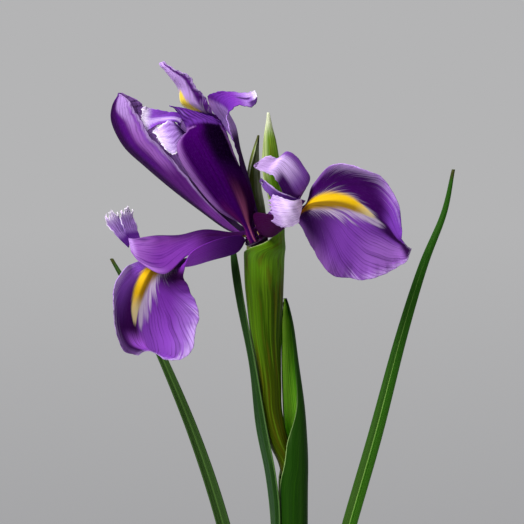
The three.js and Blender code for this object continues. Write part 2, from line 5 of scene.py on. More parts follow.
import bmesh
import bpy
import numpy as np
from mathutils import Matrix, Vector


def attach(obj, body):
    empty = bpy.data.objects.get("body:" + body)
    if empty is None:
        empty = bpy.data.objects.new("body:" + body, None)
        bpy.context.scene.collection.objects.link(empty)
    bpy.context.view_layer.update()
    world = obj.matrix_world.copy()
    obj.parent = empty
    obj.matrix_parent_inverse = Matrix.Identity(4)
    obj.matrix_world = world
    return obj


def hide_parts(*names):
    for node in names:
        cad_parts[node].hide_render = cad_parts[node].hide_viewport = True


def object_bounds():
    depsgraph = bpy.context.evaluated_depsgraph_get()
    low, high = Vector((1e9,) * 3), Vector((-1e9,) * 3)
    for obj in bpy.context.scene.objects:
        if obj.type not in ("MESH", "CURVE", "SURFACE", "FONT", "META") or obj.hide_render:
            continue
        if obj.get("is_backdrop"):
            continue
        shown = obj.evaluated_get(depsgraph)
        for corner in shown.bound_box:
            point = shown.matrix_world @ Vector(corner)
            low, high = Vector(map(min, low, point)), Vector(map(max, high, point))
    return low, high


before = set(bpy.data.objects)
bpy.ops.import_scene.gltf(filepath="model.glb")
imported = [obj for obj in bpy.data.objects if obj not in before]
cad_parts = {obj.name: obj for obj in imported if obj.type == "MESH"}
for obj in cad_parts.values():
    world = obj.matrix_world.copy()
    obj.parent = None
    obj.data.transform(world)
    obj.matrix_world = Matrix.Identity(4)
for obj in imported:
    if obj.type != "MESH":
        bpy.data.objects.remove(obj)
cad_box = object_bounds()

MM = 0.001

# The vase is a turned bud vase of white glazed stoneware: a bare foot ring, a full belly,
# a narrow neck and a rounded lip. Its outline is spun in one turn, and the glaze thins to
# the clay's own colour at the lip.
VASE_OUTLINE = [
    (27, 0), (30.5, 8), (36.5, 28), (38, 50), (34.5, 73), (27.5, 93), (21.5, 110), (19.5, 126), (22, 140),
]
VASE_WALL = 3
VASE_FLOOR = 4
FOOT_RING = 22
FOOT_HOLLOW = 0.8
VASE_TURNS = 128
GLAZE_WHITE = "e4e1d8"
GLAZE_THIN = "b9a98c"
BARE_CLAY = "a08c70"


def hue(code):
    """The linear colour of an sRGB code such as 8a2be2."""
    parts = np.array([int(code[i:i + 2], 16) / 255 for i in (0, 2, 4)])
    return np.where(parts <= 0.04045, parts / 12.92, ((parts + 0.055) / 1.055) ** 2.4)


def spline(points, u):
    """Points on the smooth curve through all the given ones, u running from 0 to 1."""
    points = np.asarray(points, float)
    ends = np.vstack([2 * points[0] - points[1], points, 2 * points[-1] - points[-2]])
    spot = np.clip(u, 0, 1) * (len(points) - 1)
    i = np.minimum(spot.astype(int), len(points) - 2)
    w = (spot - i)[:, None]
    a, b, c, d = ends[i], ends[i + 1], ends[i + 2], ends[i + 3]
    bend = w ** 2 * (a - 2.5 * b + 2 * c - 0.5 * d) + w ** 3 * (1.5 * (b - c) + 0.5 * (d - a))
    return b + 0.5 * w * (c - a) + bend


class Wiring:
    """Short words for wiring a node tree."""

    def __init__(self, tree):
        self.tree = tree

    def feed(self, socket, value):
        if isinstance(value, bpy.types.NodeSocket):
            self.tree.links.new(value, socket)
        else:
            socket.default_value = value

    def add(self, kind, *values, **settings):
        """A new node, with its settings and with its first sockets fed in order."""
        made = self.tree.nodes.new(kind)
        for key, value in settings.items():
            setattr(made, key, value)
        for socket, value in zip(made.inputs, values):
            self.feed(socket, value)
        return made

    def math(self, operation, *values):
        return self.add("ShaderNodeMath", *values, operation=operation).outputs[0]

    def times(self, a, b):
        return self.math("MULTIPLY", a, b)

    def plus(self, a, b):
        return self.math("ADD", a, b)

    def off(self, value, middle):
        """How far a value is from the middle, to either side."""
        return self.math("ABSOLUTE", self.math("SUBTRACT", value, middle))

    def ease(self, value, low, high):
        """0 below low and 1 above high, smoothly; the other way round where low is the larger."""
        limits = (min(low, high), max(low, high), low > high, low < high)
        return self.add("ShaderNodeMapRange", value, *limits, interpolation_type="SMOOTHSTEP").outputs[0]

    def tint(self, share, under, over):
        """One colour laid over another, whole where share is 1."""
        made = self.add("ShaderNodeMix", data_type="RGBA")
        self.feed(made.inputs[0], share)
        for socket, value in ((made.inputs[6], under), (made.inputs[7], over)):
            self.feed(socket, (*hue(value), 1) if isinstance(value, str) else value)
        return made.outputs[2]

    def laid(self, under, over, field, low, high, share=1):
        """One colour laid over another where a field passes from low to high, up to the share."""
        return self.tint(self.times(self.ease(field, low, high), share), under, over)

    def place(self, stretch=(1, 1, 1)):
        """Object coordinates, stretched."""
        coordinates = self.add("ShaderNodeTexCoord").outputs["Object"]
        return self.stretched(coordinates, stretch)

    def stretched(self, coordinates, stretch):
        made = self.add("ShaderNodeMapping", coordinates)
        made.inputs["Scale"].default_value = stretch
        return made.outputs[0]

    def noise(self, coordinates, scale, detail=3, rough=0.5):
        made = self.add("ShaderNodeTexNoise", coordinates)
        for socket, value in (("Scale", scale), ("Detail", detail), ("Roughness", rough)):
            made.inputs[socket].default_value = value
        return made.outputs["Fac"]

    def streaks(self, coordinates, across, along, detail, rough=0.5):
        """Noise drawn out along a UV map, finer across it."""
        return self.noise(self.stretched(coordinates, (across, along, 1)), 1, detail, rough)

    def height(self, coordinates):
        return self.add("ShaderNodeSeparateXYZ", coordinates).outputs["Z"]


class Finish(Wiring):
    """A material and its wiring. Its fixed values go on the shader's sockets."""

    def __init__(self, name, roughness, **fixed):
        self.material = bpy.data.materials.new(name)
        self.material.use_nodes = True
        super().__init__(self.material.node_tree)
        self.shader = self.tree.nodes["Principled BSDF"]
        self.shader.inputs["Roughness"].default_value = roughness
        for socket, value in fixed.items():
            self.shader.inputs[socket.replace("_", " ")].default_value = value

    def colour(self, value):
        self.feed(self.shader.inputs["Base Color"], value)

    def bump(self, value, distance, strength=1.0):
        made = self.add("ShaderNodeBump")
        self.feed(made.inputs["Height"], value)
        made.inputs["Distance"].default_value = distance
        made.inputs["Strength"].default_value = strength
        self.feed(self.shader.inputs["Normal"], made.outputs[0])


def meshed(name, bm):
    """The mesh of a bmesh, which is freed."""
    mesh = bpy.data.meshes.new(name)
    bm.to_mesh(mesh)
    bm.free()
    return mesh


def placed(name, data):
    """A new object in the scene, at the origin."""
    made = bpy.data.objects.new(name, data)
    bpy.context.scene.collection.objects.link(made)
    return made


def piece(name, mesh, finish, stands_for):
    """A finished piece: its object at the origin, its finish, its body and what it stands for."""
    made = placed(name, mesh)
    mesh.materials.append(finish.material)
    mesh.polygons.foreach_set("use_smooth", [True] * len(mesh.polygons))
    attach(made, "root")
    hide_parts(*stands_for)
    return made


def turned_vase():
    """The vase's wall, spun from its outline: hollow foot, outside, rounded lip, inside and floor."""
    outside = spline(VASE_OUTLINE, np.linspace(0, 1, 60))
    inside = spline([(r - VASE_WALL, z) for r, z in VASE_OUTLINE], np.linspace(1, 0, 60))
    inside = inside[inside[:, 1] > VASE_FLOOR + 2]
    lip = VASE_WALL / 2
    arc = np.linspace(0, pi, 9)
    top = outside[-1] - (lip, lip)
    rounded = np.column_stack([top[0] + lip * np.cos(arc), top[1] + lip * np.sin(arc)])
    foot = [(0, FOOT_HOLLOW), (FOOT_RING, FOOT_HOLLOW), (FOOT_RING + 1, 0), (26, 0), (26.8, 0.5)]
    profile = [*foot, *outside[2:-3], *rounded, *inside[3:], (inside[-1][0] - 3, VASE_FLOOR), (0, VASE_FLOOR)]
    bm = bmesh.new()
    verts = [bm.verts.new((r * MM, 0, z * MM)) for r, z in profile]
    edges = [bm.edges.new(pair) for pair in zip(verts, verts[1:])]
    bmesh.ops.spin(bm, geom=verts + edges, cent=(0, 0, 0), axis=(0, 0, 1), angle=2 * pi, steps=VASE_TURNS,
                   use_merge=True)
    bmesh.ops.remove_doubles(bm, verts=bm.verts, dist=0.00001)
    bmesh.ops.recalc_face_normals(bm, faces=bm.faces)
    return meshed("vase", bm)


glaze = Finish("white glaze", 0.2, Coat_Weight=0.8, Coat_Roughness=0.06)
level = glaze.height(glaze.place())
pooling = glaze.noise(glaze.place(), 55, 4)
specks = glaze.noise(glaze.place(), 900, 1)
uneven_level = glaze.plus(level, glaze.times(pooling, 0.002))
glaze_tone = glaze.laid(GLAZE_WHITE, "d9d4c6", pooling, 0.35, 0.7)
glaze_tone = glaze.laid(glaze_tone, GLAZE_THIN, specks, 0.7, 0.76, 0.35)
glaze_tone = glaze.laid(glaze_tone, GLAZE_THIN, uneven_level, 0.1385, 0.1405)
glaze.colour(glaze.laid(glaze_tone, BARE_CLAY, level, 0.0012, 0.0006))
glaze.bump(pooling, 0.0004, 0.35)
piece("vase_glazed", turned_vase(), glaze, ["vase"])

# The water fills the belly to half its height. It is clear with a faint green cast, and its
# surface is barely rippled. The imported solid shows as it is, with a water finish.
water = Finish("water", 0.02, Transmission_Weight=1.0, IOR=1.333)
water.colour(water.tint(water.noise(water.place(), 40, 2), "dfeceb", "eef5f2"))
water.bump(water.noise(water.place(), 120, 2), 0.0002, 0.3)
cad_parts["water"].data.materials.clear()
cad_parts["water"].data.materials.append(water.material)

# The stem is a firm green stalk, 8 mm thick, that stands on the vase's floor and ends inside
# the top sheath. Fine fibres run up it under a waxy skin, with darker blotches.
STEM_DARK = "24450f"
STEM_ROUTE = [
    (1.5, 0, 4.4, 4.1),
    (2.2, 0, 60, 4.1),
    (2.9, 0, 120, 4.1),
    (3.2, 0, 165, 4),
    (3.1, 0, 182, 3.8),
    (2.4, 0, 196, 2.3),
]


def unit(vectors):
    """Rows of vectors, each brought to length one."""
    return vectors / np.linalg.norm(vectors, axis=1)[:, None]


def stalk(name, route, rings, sides):
    """A round stalk through (x, y, z, radius) points, closed at both ends."""
    bm = bmesh.new()
    bmesh.ops.create_cone(bm, cap_ends=True, segments=sides, radius1=1, radius2=1, depth=1)
    upright = [e for e in bm.edges if abs(e.verts[0].co.z - e.verts[1].co.z) > 0.5]
    bmesh.ops.subdivide_edges(bm, edges=upright, cuts=rings - 1, use_grid_fill=True)
    spots = np.array([v.co for v in bm.verts])
    u = spots[:, 2] + 0.5
    route = np.asarray(route, float)
    centre = spline(route[:, :3], u)
    ahead = unit(spline(route[:, :3], u + 0.002) - spline(route[:, :3], u - 0.002))
    right = unit(np.cross((0.3, 1, 0.2), ahead))
    up = np.cross(ahead, right)
    radius = spline(route[:, 3:], u)
    points = centre + radius * (right * spots[:, :1] + up * spots[:, 1:2])
    for vert, point in zip(bm.verts, points):
        vert.co = point * MM
    bmesh.ops.recalc_face_normals(bm, faces=bm.faces)
    return meshed(name, bm)


stem_green = Finish("stem green", 0.42, Coat_Weight=0.12, Coat_Roughness=0.35)
stem_fibres = stem_green.noise(stem_green.place((2500, 2500, 60)), 1, 3, 0.6)
stem_blotch = stem_green.noise(stem_green.place(), 140, 3)
stem_tone = stem_green.laid(STEM_DARK, "4d7a22", stem_fibres, 0.3, 0.7)
stem_green.colour(stem_green.laid(stem_tone, STEM_DARK, stem_blotch, 0.5, 0.75, 0.35))
stem_green.bump(stem_fibres, 0.0001, 0.4)
piece("stem_round", stalk("stem", STEM_ROUTE, 60, 40), stem_green, ["stem"])

# Three long narrow leaves, folded along the midrib, rise from the vase beside the stem. Each is
# waxy, with parallel veins, a paler midline and margin, and a tip that dries to brown.
# A row is x, y, z, half width, fold and turn in degrees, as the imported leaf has.
LEAF_THICKNESS = 0.55
LEAF_VEINS = 13
LEAF_GRID = (48, 160)
LEAF_ROWS = {
    "leaf_far_left": [
        (-2.6, 0, 82, 2.6, -0.4, 90),
        (-4.2, 0.2, 98, 2.6, 0.2, 60),
        (-8.6, 1, 120, 2.6, 0.9, 25),
        (-13.6, 2.5, 142, 2.5, 1, 10),
        (-22.5, 5, 179, 2.4, 1, 5),
        (-33, 8.5, 211, 2.1, 0.9, 5),
        (-46, 13, 242, 1.5, 0.7, 5),
        (-57, 17, 264, 0.9, 0.4, 5),
        (-63.5, 19.5, 275.5, 0.4, 0.15, 5),
    ],
    "leaf_left": [
        (-3.2, -0.3, 116, 3, -0.8, 268),
        (-3.35, -0.3, 134, 4.1, -1, 268),
        (-3.35, -0.3, 152, 4.1, -1, 268),
        (-3.3, -0.8, 166, 3.4, 0, 285),
        (-3.5, -2.3, 182, 2.4, 0.5, 316),
        (-5.2, -2.6, 197, 2.4, 0.6, 320),
        (-8.7, -3.2, 215, 2.5, 0.6, 318),
        (-11.8, -3.4, 237, 1.5, 0.5, 318),
        (-16, -1.5, 259, 1.4, 0.4, 335),
        (-18, 0.5, 272, 1.3, 0.3, 345),
        (-19, 2, 281, 0.5, 0.15, 350),
    ],
    "leaf_far_right": [
        (7.6, 0.5, 82, 2.6, -0.6, 90),
        (8.4, 0.5, 98, 2.6, 0.2, 120),
        (10.8, 0, 120, 2.6, 0.8, 150),
        (13.6, -1, 142, 2.6, 1.2, 172),
        (23.8, -3, 179, 2.6, 1.3, 175),
        (33, -5, 211, 2.5, 1.3, 175),
        (42.5, -7, 247, 2, 1.1, 175),
        (50.5, -8, 273, 1.5, 0.8, 175),
        (58, -8.5, 292, 0.9, 0.4, 175),
        (61.5, -8.5, 308, 0.35, 0.15, 175),
    ],
}
# The colours of the first half, the second half, the midline, the margin and the upper part. The halves' two
# greens are painted light and painted shade, one flank lit and one turned away, with a painted grey sheen on
# leaf_left's first half; the upper part is painted shade.
LEAF_HUES = {
    "leaf_far_left": ("28401a", "2c441e", "42602a", "2e4620", "2a421c"),
    "leaf_left": ("2c442c", "16340e", "1e3c12", "4c6a38", "1e3a18"),
    "leaf_far_right": ("2e5e10", "2e4c18", "7ca050", "2a5410", "1a460c"),
}
DRY_TIP = "3a3c1a"
WAXY_GREEN = (0.6, 0.9, 0.3, 1)


def rise(value, low, high):
    """0 below low and 1 above high, smoothly; the other way round where low is the larger."""
    share = np.clip((value - low) / (high - low), 0, 1)
    return share * share * (3 - 2 * share)


def blade(rows, ruffle=0, waves=6, since=0.4, ridge=0, span=(0.3, 0.7), extra=None):
    """A blade's surface from cross-sections, each one edge, the midrib and the other edge.
    u runs from the foot to the tip and v from -1 at one edge to 1 at the other."""
    rails = np.array(rows, float).transpose(1, 0, 2)
    step = 1 / (len(rows) - 1)

    def place(u, v):
        edge, rib, other = (spline(rail, u) for rail in rails)
        half = (other - edge) / 2
        points = rib + half * v[:, None] + ((edge + other) / 2 - rib) * v[:, None] ** 2
        normal = unit(np.cross(spline(rails[1], u + step) - spline(rails[1], u - step), half))
        wave = np.sin(2 * pi * waves * u + np.where(v > 0, 1.3, 0)) * rise(u, since, since + 0.15)
        lift = ruffle * np.abs(v) ** 3 * wave
        along = rise(u, span[0], span[0] + 0.12) * rise(u, span[1], span[1] - 0.2)
        lift = lift + ridge * np.exp(-((v / 0.16) ** 2)) * along
        if extra:
            lift = lift + extra(u, v)
        return points + normal * lift[:, None]

    return place


def sheet(name, place, across, along, lines=None, paint=None, marks=None):
    """A fine mesh over a surface place(u, v). lines gives the UV map that its veins follow, paint
    its colours and marks any other shares that its finish reads."""
    bm = bmesh.new()
    bmesh.ops.create_grid(bm, x_segments=across, y_segments=along, size=1)
    spots = np.array([vert.co for vert in bm.verts])
    v, u = spots[:, 0], (spots[:, 1] + 1) / 2
    for vert, point in zip(bm.verts, place(u, v)):
        vert.co = point * MM
    mesh = meshed(name, bm)
    corners = np.zeros(len(mesh.loops), int)
    mesh.loops.foreach_get("vertex_index", corners)
    maps = {"flat": ((v + 1) / 2, u)}
    if lines:
        maps["lines"] = lines(u, v)
    for key, (x, y) in maps.items():
        mesh.uv_layers.new(name=key).data.foreach_set("uv", np.column_stack([x, y])[corners].ravel())
    if paint:
        coat = mesh.color_attributes.new("paint", "FLOAT_COLOR", "POINT")
        coat.data.foreach_set("color", np.column_stack([paint(u, v), np.ones_like(u)]).ravel())
    for key, mark in (marks or {}).items():
        share = mesh.attributes.new(key, "FLOAT", "POINT")
        share.data.foreach_set("value", mark(u, v))
    return mesh


def walled(made, thickness, inner_finish=None):
    """Gives a sheet its thickness, half to each side, with a second finish inside where one is given."""
    wall = made.modifiers.new("wall", "SOLIDIFY")
    wall.thickness = thickness * MM
    wall.offset = 0
    if inner_finish:
        made.data.materials.append(inner_finish.material)
        wall.material_offset = 1
    return made


def leaf_sections(rows):
    """A leaf's cross-sections, each a flat fold: one edge, the midrib and the other edge."""
    sections = []
    for x, y, z, half, fold, turn in rows:
        side = np.array([np.cos(radians(turn)), np.sin(radians(turn)), 0])
        rib = np.array([x, y, z]) + fold * np.array([-side[1], side[0], 0])
        sections.append([(x, y, z) - half * side, rib, (x, y, z) + half * side])
    return sections


def leaf_veins(u, v):
    """Fine parallel veins that stand up along a leaf, and a sharper midrib."""
    return 0.035 * np.cos(LEAF_VEINS * pi * v) - 0.1 * np.exp(-((v / 0.07) ** 2))


def uv_parts(finish, name):
    """A UV map's spots, and the two numbers of each: across and along."""
    spots = finish.add("ShaderNodeUVMap", uv_map=name).outputs[0]
    split = finish.add("ShaderNodeSeparateXYZ", spots)
    return spots, split.outputs["X"], split.outputs["Y"]


def leaf_finish(name, first, second, midline, margin, upper):
    """A leaf's skin: streaked halves in two greens, painted light on one and painted shade on the other,
    painted darker higher up as shade, with a midline, margins, a dry tip.
    """
    leaf = Finish(name, 0.4, Specular_IOR_Level=0.15, Specular_Tint=WAXY_GREEN)
    flat, across, along = uv_parts(leaf, "flat")
    streak = leaf.streaks(flat, 34, 2.5, 4, 0.6)
    blotch = leaf.noise(leaf.place((1, 1, 0.25)), 260, 3)
    # Painted light and shade: the lit half and the half turned away, in two greens.
    base = leaf.laid(first, second, across, 0.46, 0.54)
    tone = leaf.laid(base, "0f2408", streak, 0.45, 0.75, 0.45)
    tone = leaf.laid(tone, margin, blotch, 0.5, 0.8, 0.3)
    # Painted shade: the upper part darkened.
    tone = leaf.laid(tone, upper, along, 0.45, 0.75, 0.8)
    off_middle = leaf.off(across, 0.5)
    tone = leaf.laid(tone, midline, off_middle, 0.05, 0.015, 0.75)
    tone = leaf.laid(tone, margin, off_middle, 0.46, 0.495, 0.7)
    leaf.colour(leaf.laid(tone, DRY_TIP, along, 0.965, 0.995))
    leaf.bump(streak, 0.00008, 0.5)
    return leaf


for leaf_name, leaf_rows in LEAF_ROWS.items():
    leaf_surface = blade(leaf_sections(leaf_rows), extra=leaf_veins)
    leaf_mesh = sheet(leaf_name, leaf_surface, *LEAF_GRID)
    leaf_piece = piece(leaf_name + "_blade", leaf_mesh, leaf_finish(leaf_name, *LEAF_HUES[leaf_name]),
                       [leaf_name])
    walled(leaf_piece, LEAF_THICKNESS)

# The top leaf wraps the stem like a rolled sheet and opens to the right of the spathe. Its inner face is
# partly its own paler green and partly painted light, brightened for the light that shines through the leaf
# into its shaded inside, and its outer face is darker and waxier. Both faces are painted darker on their first
# half as painted shade, and lighter where the leaf opens as painted light.
# A row is x, y, z, radius, depth ratio, first and last angle: 0 right, 90 back, 270 the viewer.
SHEATH_GRID = (120, 150)
SHEATH_LEAF_ROWS = [
    (3, 0, 130, 5.05, 1, 200, 552),
    (3.2, 0, 155, 5.05, 1, 200, 552),
    (3.2, 0, 180, 5.05, 1, 200, 552),
    (3.2, 0, 192, 5.1, 1, 205, 545),
    (3.2, 0.2, 200, 5.2, 1.05, 232, 504),
    (3.3, 0.8, 209, 4.8, 1.2, 245, 486),
    (3.1, 1.5, 222, 4, 1, 290, 512),
    (1.8, 2.5, 238, 3.1, 1, 310, 510),
    (0.9, 3.2, 250, 2.4, 1, 315, 500),
    (0.3, 3.8, 257, 1.5, 1, 320, 484),
    (0, 4, 261, 0.6, 1, 325, 465),
]


def sheath_angles(rows, u, v):
    """The compass angle, in radians, of each spot on a sheath."""
    ends = spline([row[5:7] for row in rows], u)
    return np.radians(ends[:, 0] + (v + 1) / 2 * (ends[:, 1] - ends[:, 0]))


def sheath(rows, ribs, rib_height):
    """A rolled sheet round a stalk, with ribs along it."""
    centres = [row[:3] for row in rows]
    radii = [(row[3], row[3] * row[4]) for row in rows]

    def place(u, v):
        angle = sheath_angles(rows, u, v)
        swell = rib_height * np.cos(ribs * angle)
        radius = spline(radii, u) + swell[:, None]
        reach = radius * np.column_stack([np.cos(angle), np.sin(angle)])
        return spline(centres, u) + np.column_stack([reach, np.zeros_like(u)])

    return place


def striped_green(name, dark, light, edge, shade, painted_light_green):
    """A sheathing leaf's face: long stripes, a waxy skin, painted shade on its first half, a lighter green
    painted where it opens as painted light, with an edge that is pale and dry low down only."""
    green = Finish(name, 0.4, Specular_IOR_Level=0.12, Specular_Tint=WAXY_GREEN)
    flat, across, along = uv_parts(green, "flat")
    stripes = green.streaks(flat, 60, 2, 4, 0.6)
    broad = green.streaks(flat, 9, 1.6, 2)
    tone = green.laid(dark, light, stripes, 0.35, 0.68)
    tone = green.laid(tone, dark, broad, 0.45, 0.7, 0.6)
    # Painted shade on the first half.
    tone = green.laid(tone, shade, across, 0.75, 0.5, 0.8)
    opening = green.times(green.ease(along, 0.46, 0.6), 0.7)
    # Painted light where the leaf opens.
    tone = green.laid(tone, painted_light_green, across, 0.72, 0.9, opening)
    low_down = green.times(green.ease(along, 0.7, 0.45), 0.8)
    green.colour(green.laid(tone, edge, green.off(across, 0.5), 0.482, 0.497, low_down))
    green.bump(stripes, 0.0001, 0.5)
    return green


# Each face's last two greens are its painted shade and its painted light.
sheath_outer = striped_green("sheath outside", "123505", "2e600a", "8fac68", "0e2c04", "386c0c")
# The inside's greens are painted brighter than its own colour: painted light for the light through the leaf
# into its shaded inside.
sheath_inner = striped_green("sheath inside", "4c9414", "9cdc3c", "a8c080", "387010", "c0fc50")
sheath_mesh = sheet("leaf_sheathing", sheath(SHEATH_LEAF_ROWS, ribs=26, rib_height=0.03), *SHEATH_GRID)
sheath_piece = piece("leaf_sheathing", sheath_mesh, sheath_outer, ["leaf_right_sheath"])
walled(sheath_piece, LEAF_THICKNESS, sheath_inner)

# The spathe is the pair of green valves that the flower grew out of: the outer one in front,
# the inner one behind its left edge. Both are boat shaped and streaked olive and yellow-green,
# with thin papery margins and long points, the outer one bleached at its tip.
SPATHE_OUTER_ROWS = [
    (2.2, 0, 197, 3.1, 1, 165, 510),
    (0.8, 0, 202, 3.2, 1, 165, 505),
    (-2.4, 0, 209.5, 3.6, 1, 165, 495),
    (-4.9, 0, 220, 3.8, 1, 168, 480),
    (-5.4, 0, 229.5, 4, 1, 170, 470),
    (-6, 0, 238.5, 4.5, 1.05, 172, 445),
    (-6.8, -0.3, 248, 5.4, 1.15, 174, 432),
    (-7.2, -0.6, 260, 6.4, 1.28, 176, 430),
    (-7.4, -1, 266, 6.8, 1.38, 176, 428),
    (-7.4, -1.8, 271, 7, 1.46, 176, 428),
    (-7.4, -2.8, 275, 7.1, 1.55, 177, 428),
    (-7.4, -3.8, 277.6, 7.3, 1.62, 190, 428),
    (-7.4, -4.3, 279.2, 7.5, 1.65, 222, 428),
    (-7.4, -4.5, 280.8, 7.45, 1.65, 262, 428),
    (-7.4, -3.9, 282.4, 7.3, 1.6, 285, 428),
    (-7.4, -3, 284.2, 7.2, 1.5, 297, 428),
    (-7.4, -1.8, 286, 7.2, 1.38, 303, 428),
    (-7.4, -0.6, 290, 7.1, 1.2, 298, 428),
    (-7.4, 0, 297, 6.6, 1.05, 285, 428),
    (-7.2, 0.4, 307, 5.6, 1, 262, 430),
    (-6.6, 0.5, 317, 3.6, 1, 250, 430),
    (-6.1, 0.5, 323.5, 1.5, 1, 240, 430),
    (-6, 0.5, 328.8, 0.3, 1, 235, 425),
]
SPATHE_INNER_ROWS = [
    (-6.1, 0.6, 234, 3.1, 1.05, 136, 148),
    (-6.2, 0.6, 239, 3.3, 1.05, 112, 162),
    (-6.5, 0.6, 247, 4.1, 1.1, 93, 195),
    (-7, 0.6, 260, 5.3, 1.2, 82, 215),
    (-7.4, 1.2, 274, 6, 1.15, 80, 228),
    (-7.6, 2.5, 290, 6, 1, 80, 200),
    (-8.4, 3.5, 302, 5.4, 1, 90, 200),
    (-8.8, 3.5, 311, 3.8, 1, 95, 220),
    (-9.3, 3, 320.6, 0.3, 1, 100, 235),
]
SPATHE_THICKNESS = 0.5


def coat(paint, u, v, colour, along=None, across=None, share=1):
    """A colour code, or another paint, laid over a paint between its limits along and across."""
    colour = hue(colour) if isinstance(colour, str) else colour
    for spot, limits in ((u, along), (v, across)):
        if limits:
            share = share * rise(spot, *limits)
    return paint + (colour - paint) * np.reshape(share, (-1, 1))


def coats(u, v, first, *layers):
    """A paint: the first colour all over, then each layer's colour, limits and share in turn."""
    paint = hue(first)
    for layer in layers:
        paint = coat(paint, u, v, *layer)
    return paint


def spathe_paint(rows, light, dark, low, margin, tip, papery=0):
    """Green, painted darker towards the middle low down as painted shade with its left flank left light as
    painted light, darker towards the back, and olive lower down, with a papery margin and a pale tip.
    """
    def paint(u, v):
        angle = sheath_angles(rows, u, v)
        level = spline([row[:3] for row in rows], u)[:, 2]
        return coats(
            u, v, light,
            # Painted light and shade: low down all but the lit left flank is darkened.
            (dark, None, None, rise(np.cos(angle), -0.6, -0.1) * rise(level, 274, 262)),
            (dark, None, None, 0.6 * rise(np.sin(angle), -0.4, 0.4)),
            (low, None, None, rise(level, 250, 225)),
            ("7c9c30", None, (-0.8, -0.5), 0.7 * rise(level, 308, 318) * (1 - papery)),
            (margin, None, (-0.62, -0.85), rise(level, 300, 312)),
            (margin, None, (-0.35, -0.7), papery * rise(level, 285, 300)),
            (margin, None, None, rise(np.abs(v), 0.93, 0.99)),
            (tip, (0.92, 0.99)),
        )
    return paint


spathe_skin = Finish("spathe outside", 0.42, Specular_IOR_Level=0.1, Specular_Tint=WAXY_GREEN)
spathe_flat = uv_parts(spathe_skin, "flat")[0]
spathe_tone = spathe_skin.add("ShaderNodeVertexColor", layer_name="paint").outputs[0]
spathe_streaks = spathe_skin.streaks(spathe_flat, 52, 5, 5, 0.65)
spathe_lights = spathe_skin.streaks(spathe_flat, 24, 4, 3, 0.5)
spathe_stains = spathe_skin.streaks(spathe_flat, 11, 7, 3)
spathe_tone = spathe_skin.laid(spathe_tone, "6e961a", spathe_lights, 0.5, 0.66, 0.3)
spathe_tone = spathe_skin.laid(spathe_tone, "2a3204", spathe_streaks, 0.44, 0.66, 0.55)
spathe_tone = spathe_skin.laid(spathe_tone, "4a3a08", spathe_stains, 0.5, 0.66, 0.5)
spathe_skin.bump(spathe_streaks, 0.0001, 0.5)
spathe_skin.colour(spathe_tone)
outer_paint = spathe_paint(SPATHE_OUTER_ROWS, "456c08", "223c00", "2c3800", "a9b878", "dfe2c4")
# The inner valve's greens are painted lighter than its own colour: painted light on its inside, which faces
# the viewer in shade.
inner_paint = spathe_paint(SPATHE_INNER_ROWS, "6c763a", "4e5828", "3a4a10", "c8ccb4", "4a4a2a", papery=0.8)
for valve, rows, grid, valve_paint in (
    ("outer", SPATHE_OUTER_ROWS, (120, 190), outer_paint),
    ("inner", SPATHE_INNER_ROWS, (64, 150), inner_paint),
):
    valve_mesh = sheet(f"spathe_{valve}", sheath(rows, ribs=22, rib_height=0.05), *grid, paint=valve_paint)
    valve_piece = piece(f"spathe_valve_{valve}", valve_mesh, spathe_skin, [f"spathe_{valve}"])
    walled(valve_piece, SPATHE_THICKNESS)

# The flower's own stalk: a slim green stalk, the thicker ovary, and the tube that flares to
# carry the petals and turns purple there.
FLOWER_BASE = np.array([-10, -10.5, 283])
FLOWER_AXIS = unit(np.array([[-0.46, -0.3, 0.835]]))[0]
RECEPTACLE_RADIUS = 4.9
TUBE_FLARE = 2.8
flower_route = [
    (2.4, 0, 196.3, 1.8),
    (2.2, 0, 199.5, 1.8),
    (-1.5, 0, 208, 1.8),
    (-5, 0, 221, 1.8),
    (-6, -0.3, 240, 2.8),
    (-6.6, -1.5, 258, 3),
    (-6.8, -4, 270, 2.3),
    (-7.3, -6.6, 276, 2.3),
    (*(FLOWER_BASE - TUBE_FLARE * FLOWER_AXIS), 3),
    (*FLOWER_BASE, RECEPTACLE_RADIUS),
]
tube_green = Finish("tube", 0.45, Coat_Weight=0.1)
tube_fibres = tube_green.noise(tube_green.place((1800, 1800, 90)), 1, 3)
tube_tone = tube_green.laid("4a6a1c", "7a9a3c", tube_fibres, 0.3, 0.7)
tube_level = tube_green.height(tube_green.place())
tube_green.colour(tube_green.laid(tube_tone, "3a1244", tube_level, 0.273, 0.282))
tube_green.bump(tube_fibres, 0.0001, 0.3)
piece("flower_tube", stalk("flower_tube", flower_route, 90, 36), tube_green, ["flower_stalk"])

# The falls are the three outer petals. Each has a narrow haft that lies under a style arm and a
# broad hanging blade with a raised yellow signal, veins that fan from the throat, and a pale rim.
# A section is one edge, the midrib and the other edge, in millimetres from the flower's base.
PETAL_THICKNESS = 0.32
VIOLET_SHEEN = (0.5, 0.25, 0.9, 1)
PETAL_RING = 4.1
LEFT_FALL, RIGHT_FALL, REAR_FALL = 0, 120, 240
TOWARDS_LEFT_FALL = np.array([-0.855, -0.106, -0.508])
TOWARDS_LEFT_FALL = TOWARDS_LEFT_FALL - (TOWARDS_LEFT_FALL @ FLOWER_AXIS) * FLOWER_AXIS
TOWARDS_LEFT_FALL = TOWARDS_LEFT_FALL / np.linalg.norm(TOWARDS_LEFT_FALL)
TOWARDS_VIEWER = np.cross(FLOWER_AXIS, TOWARDS_LEFT_FALL)
CLAW_LIFT = 0.35

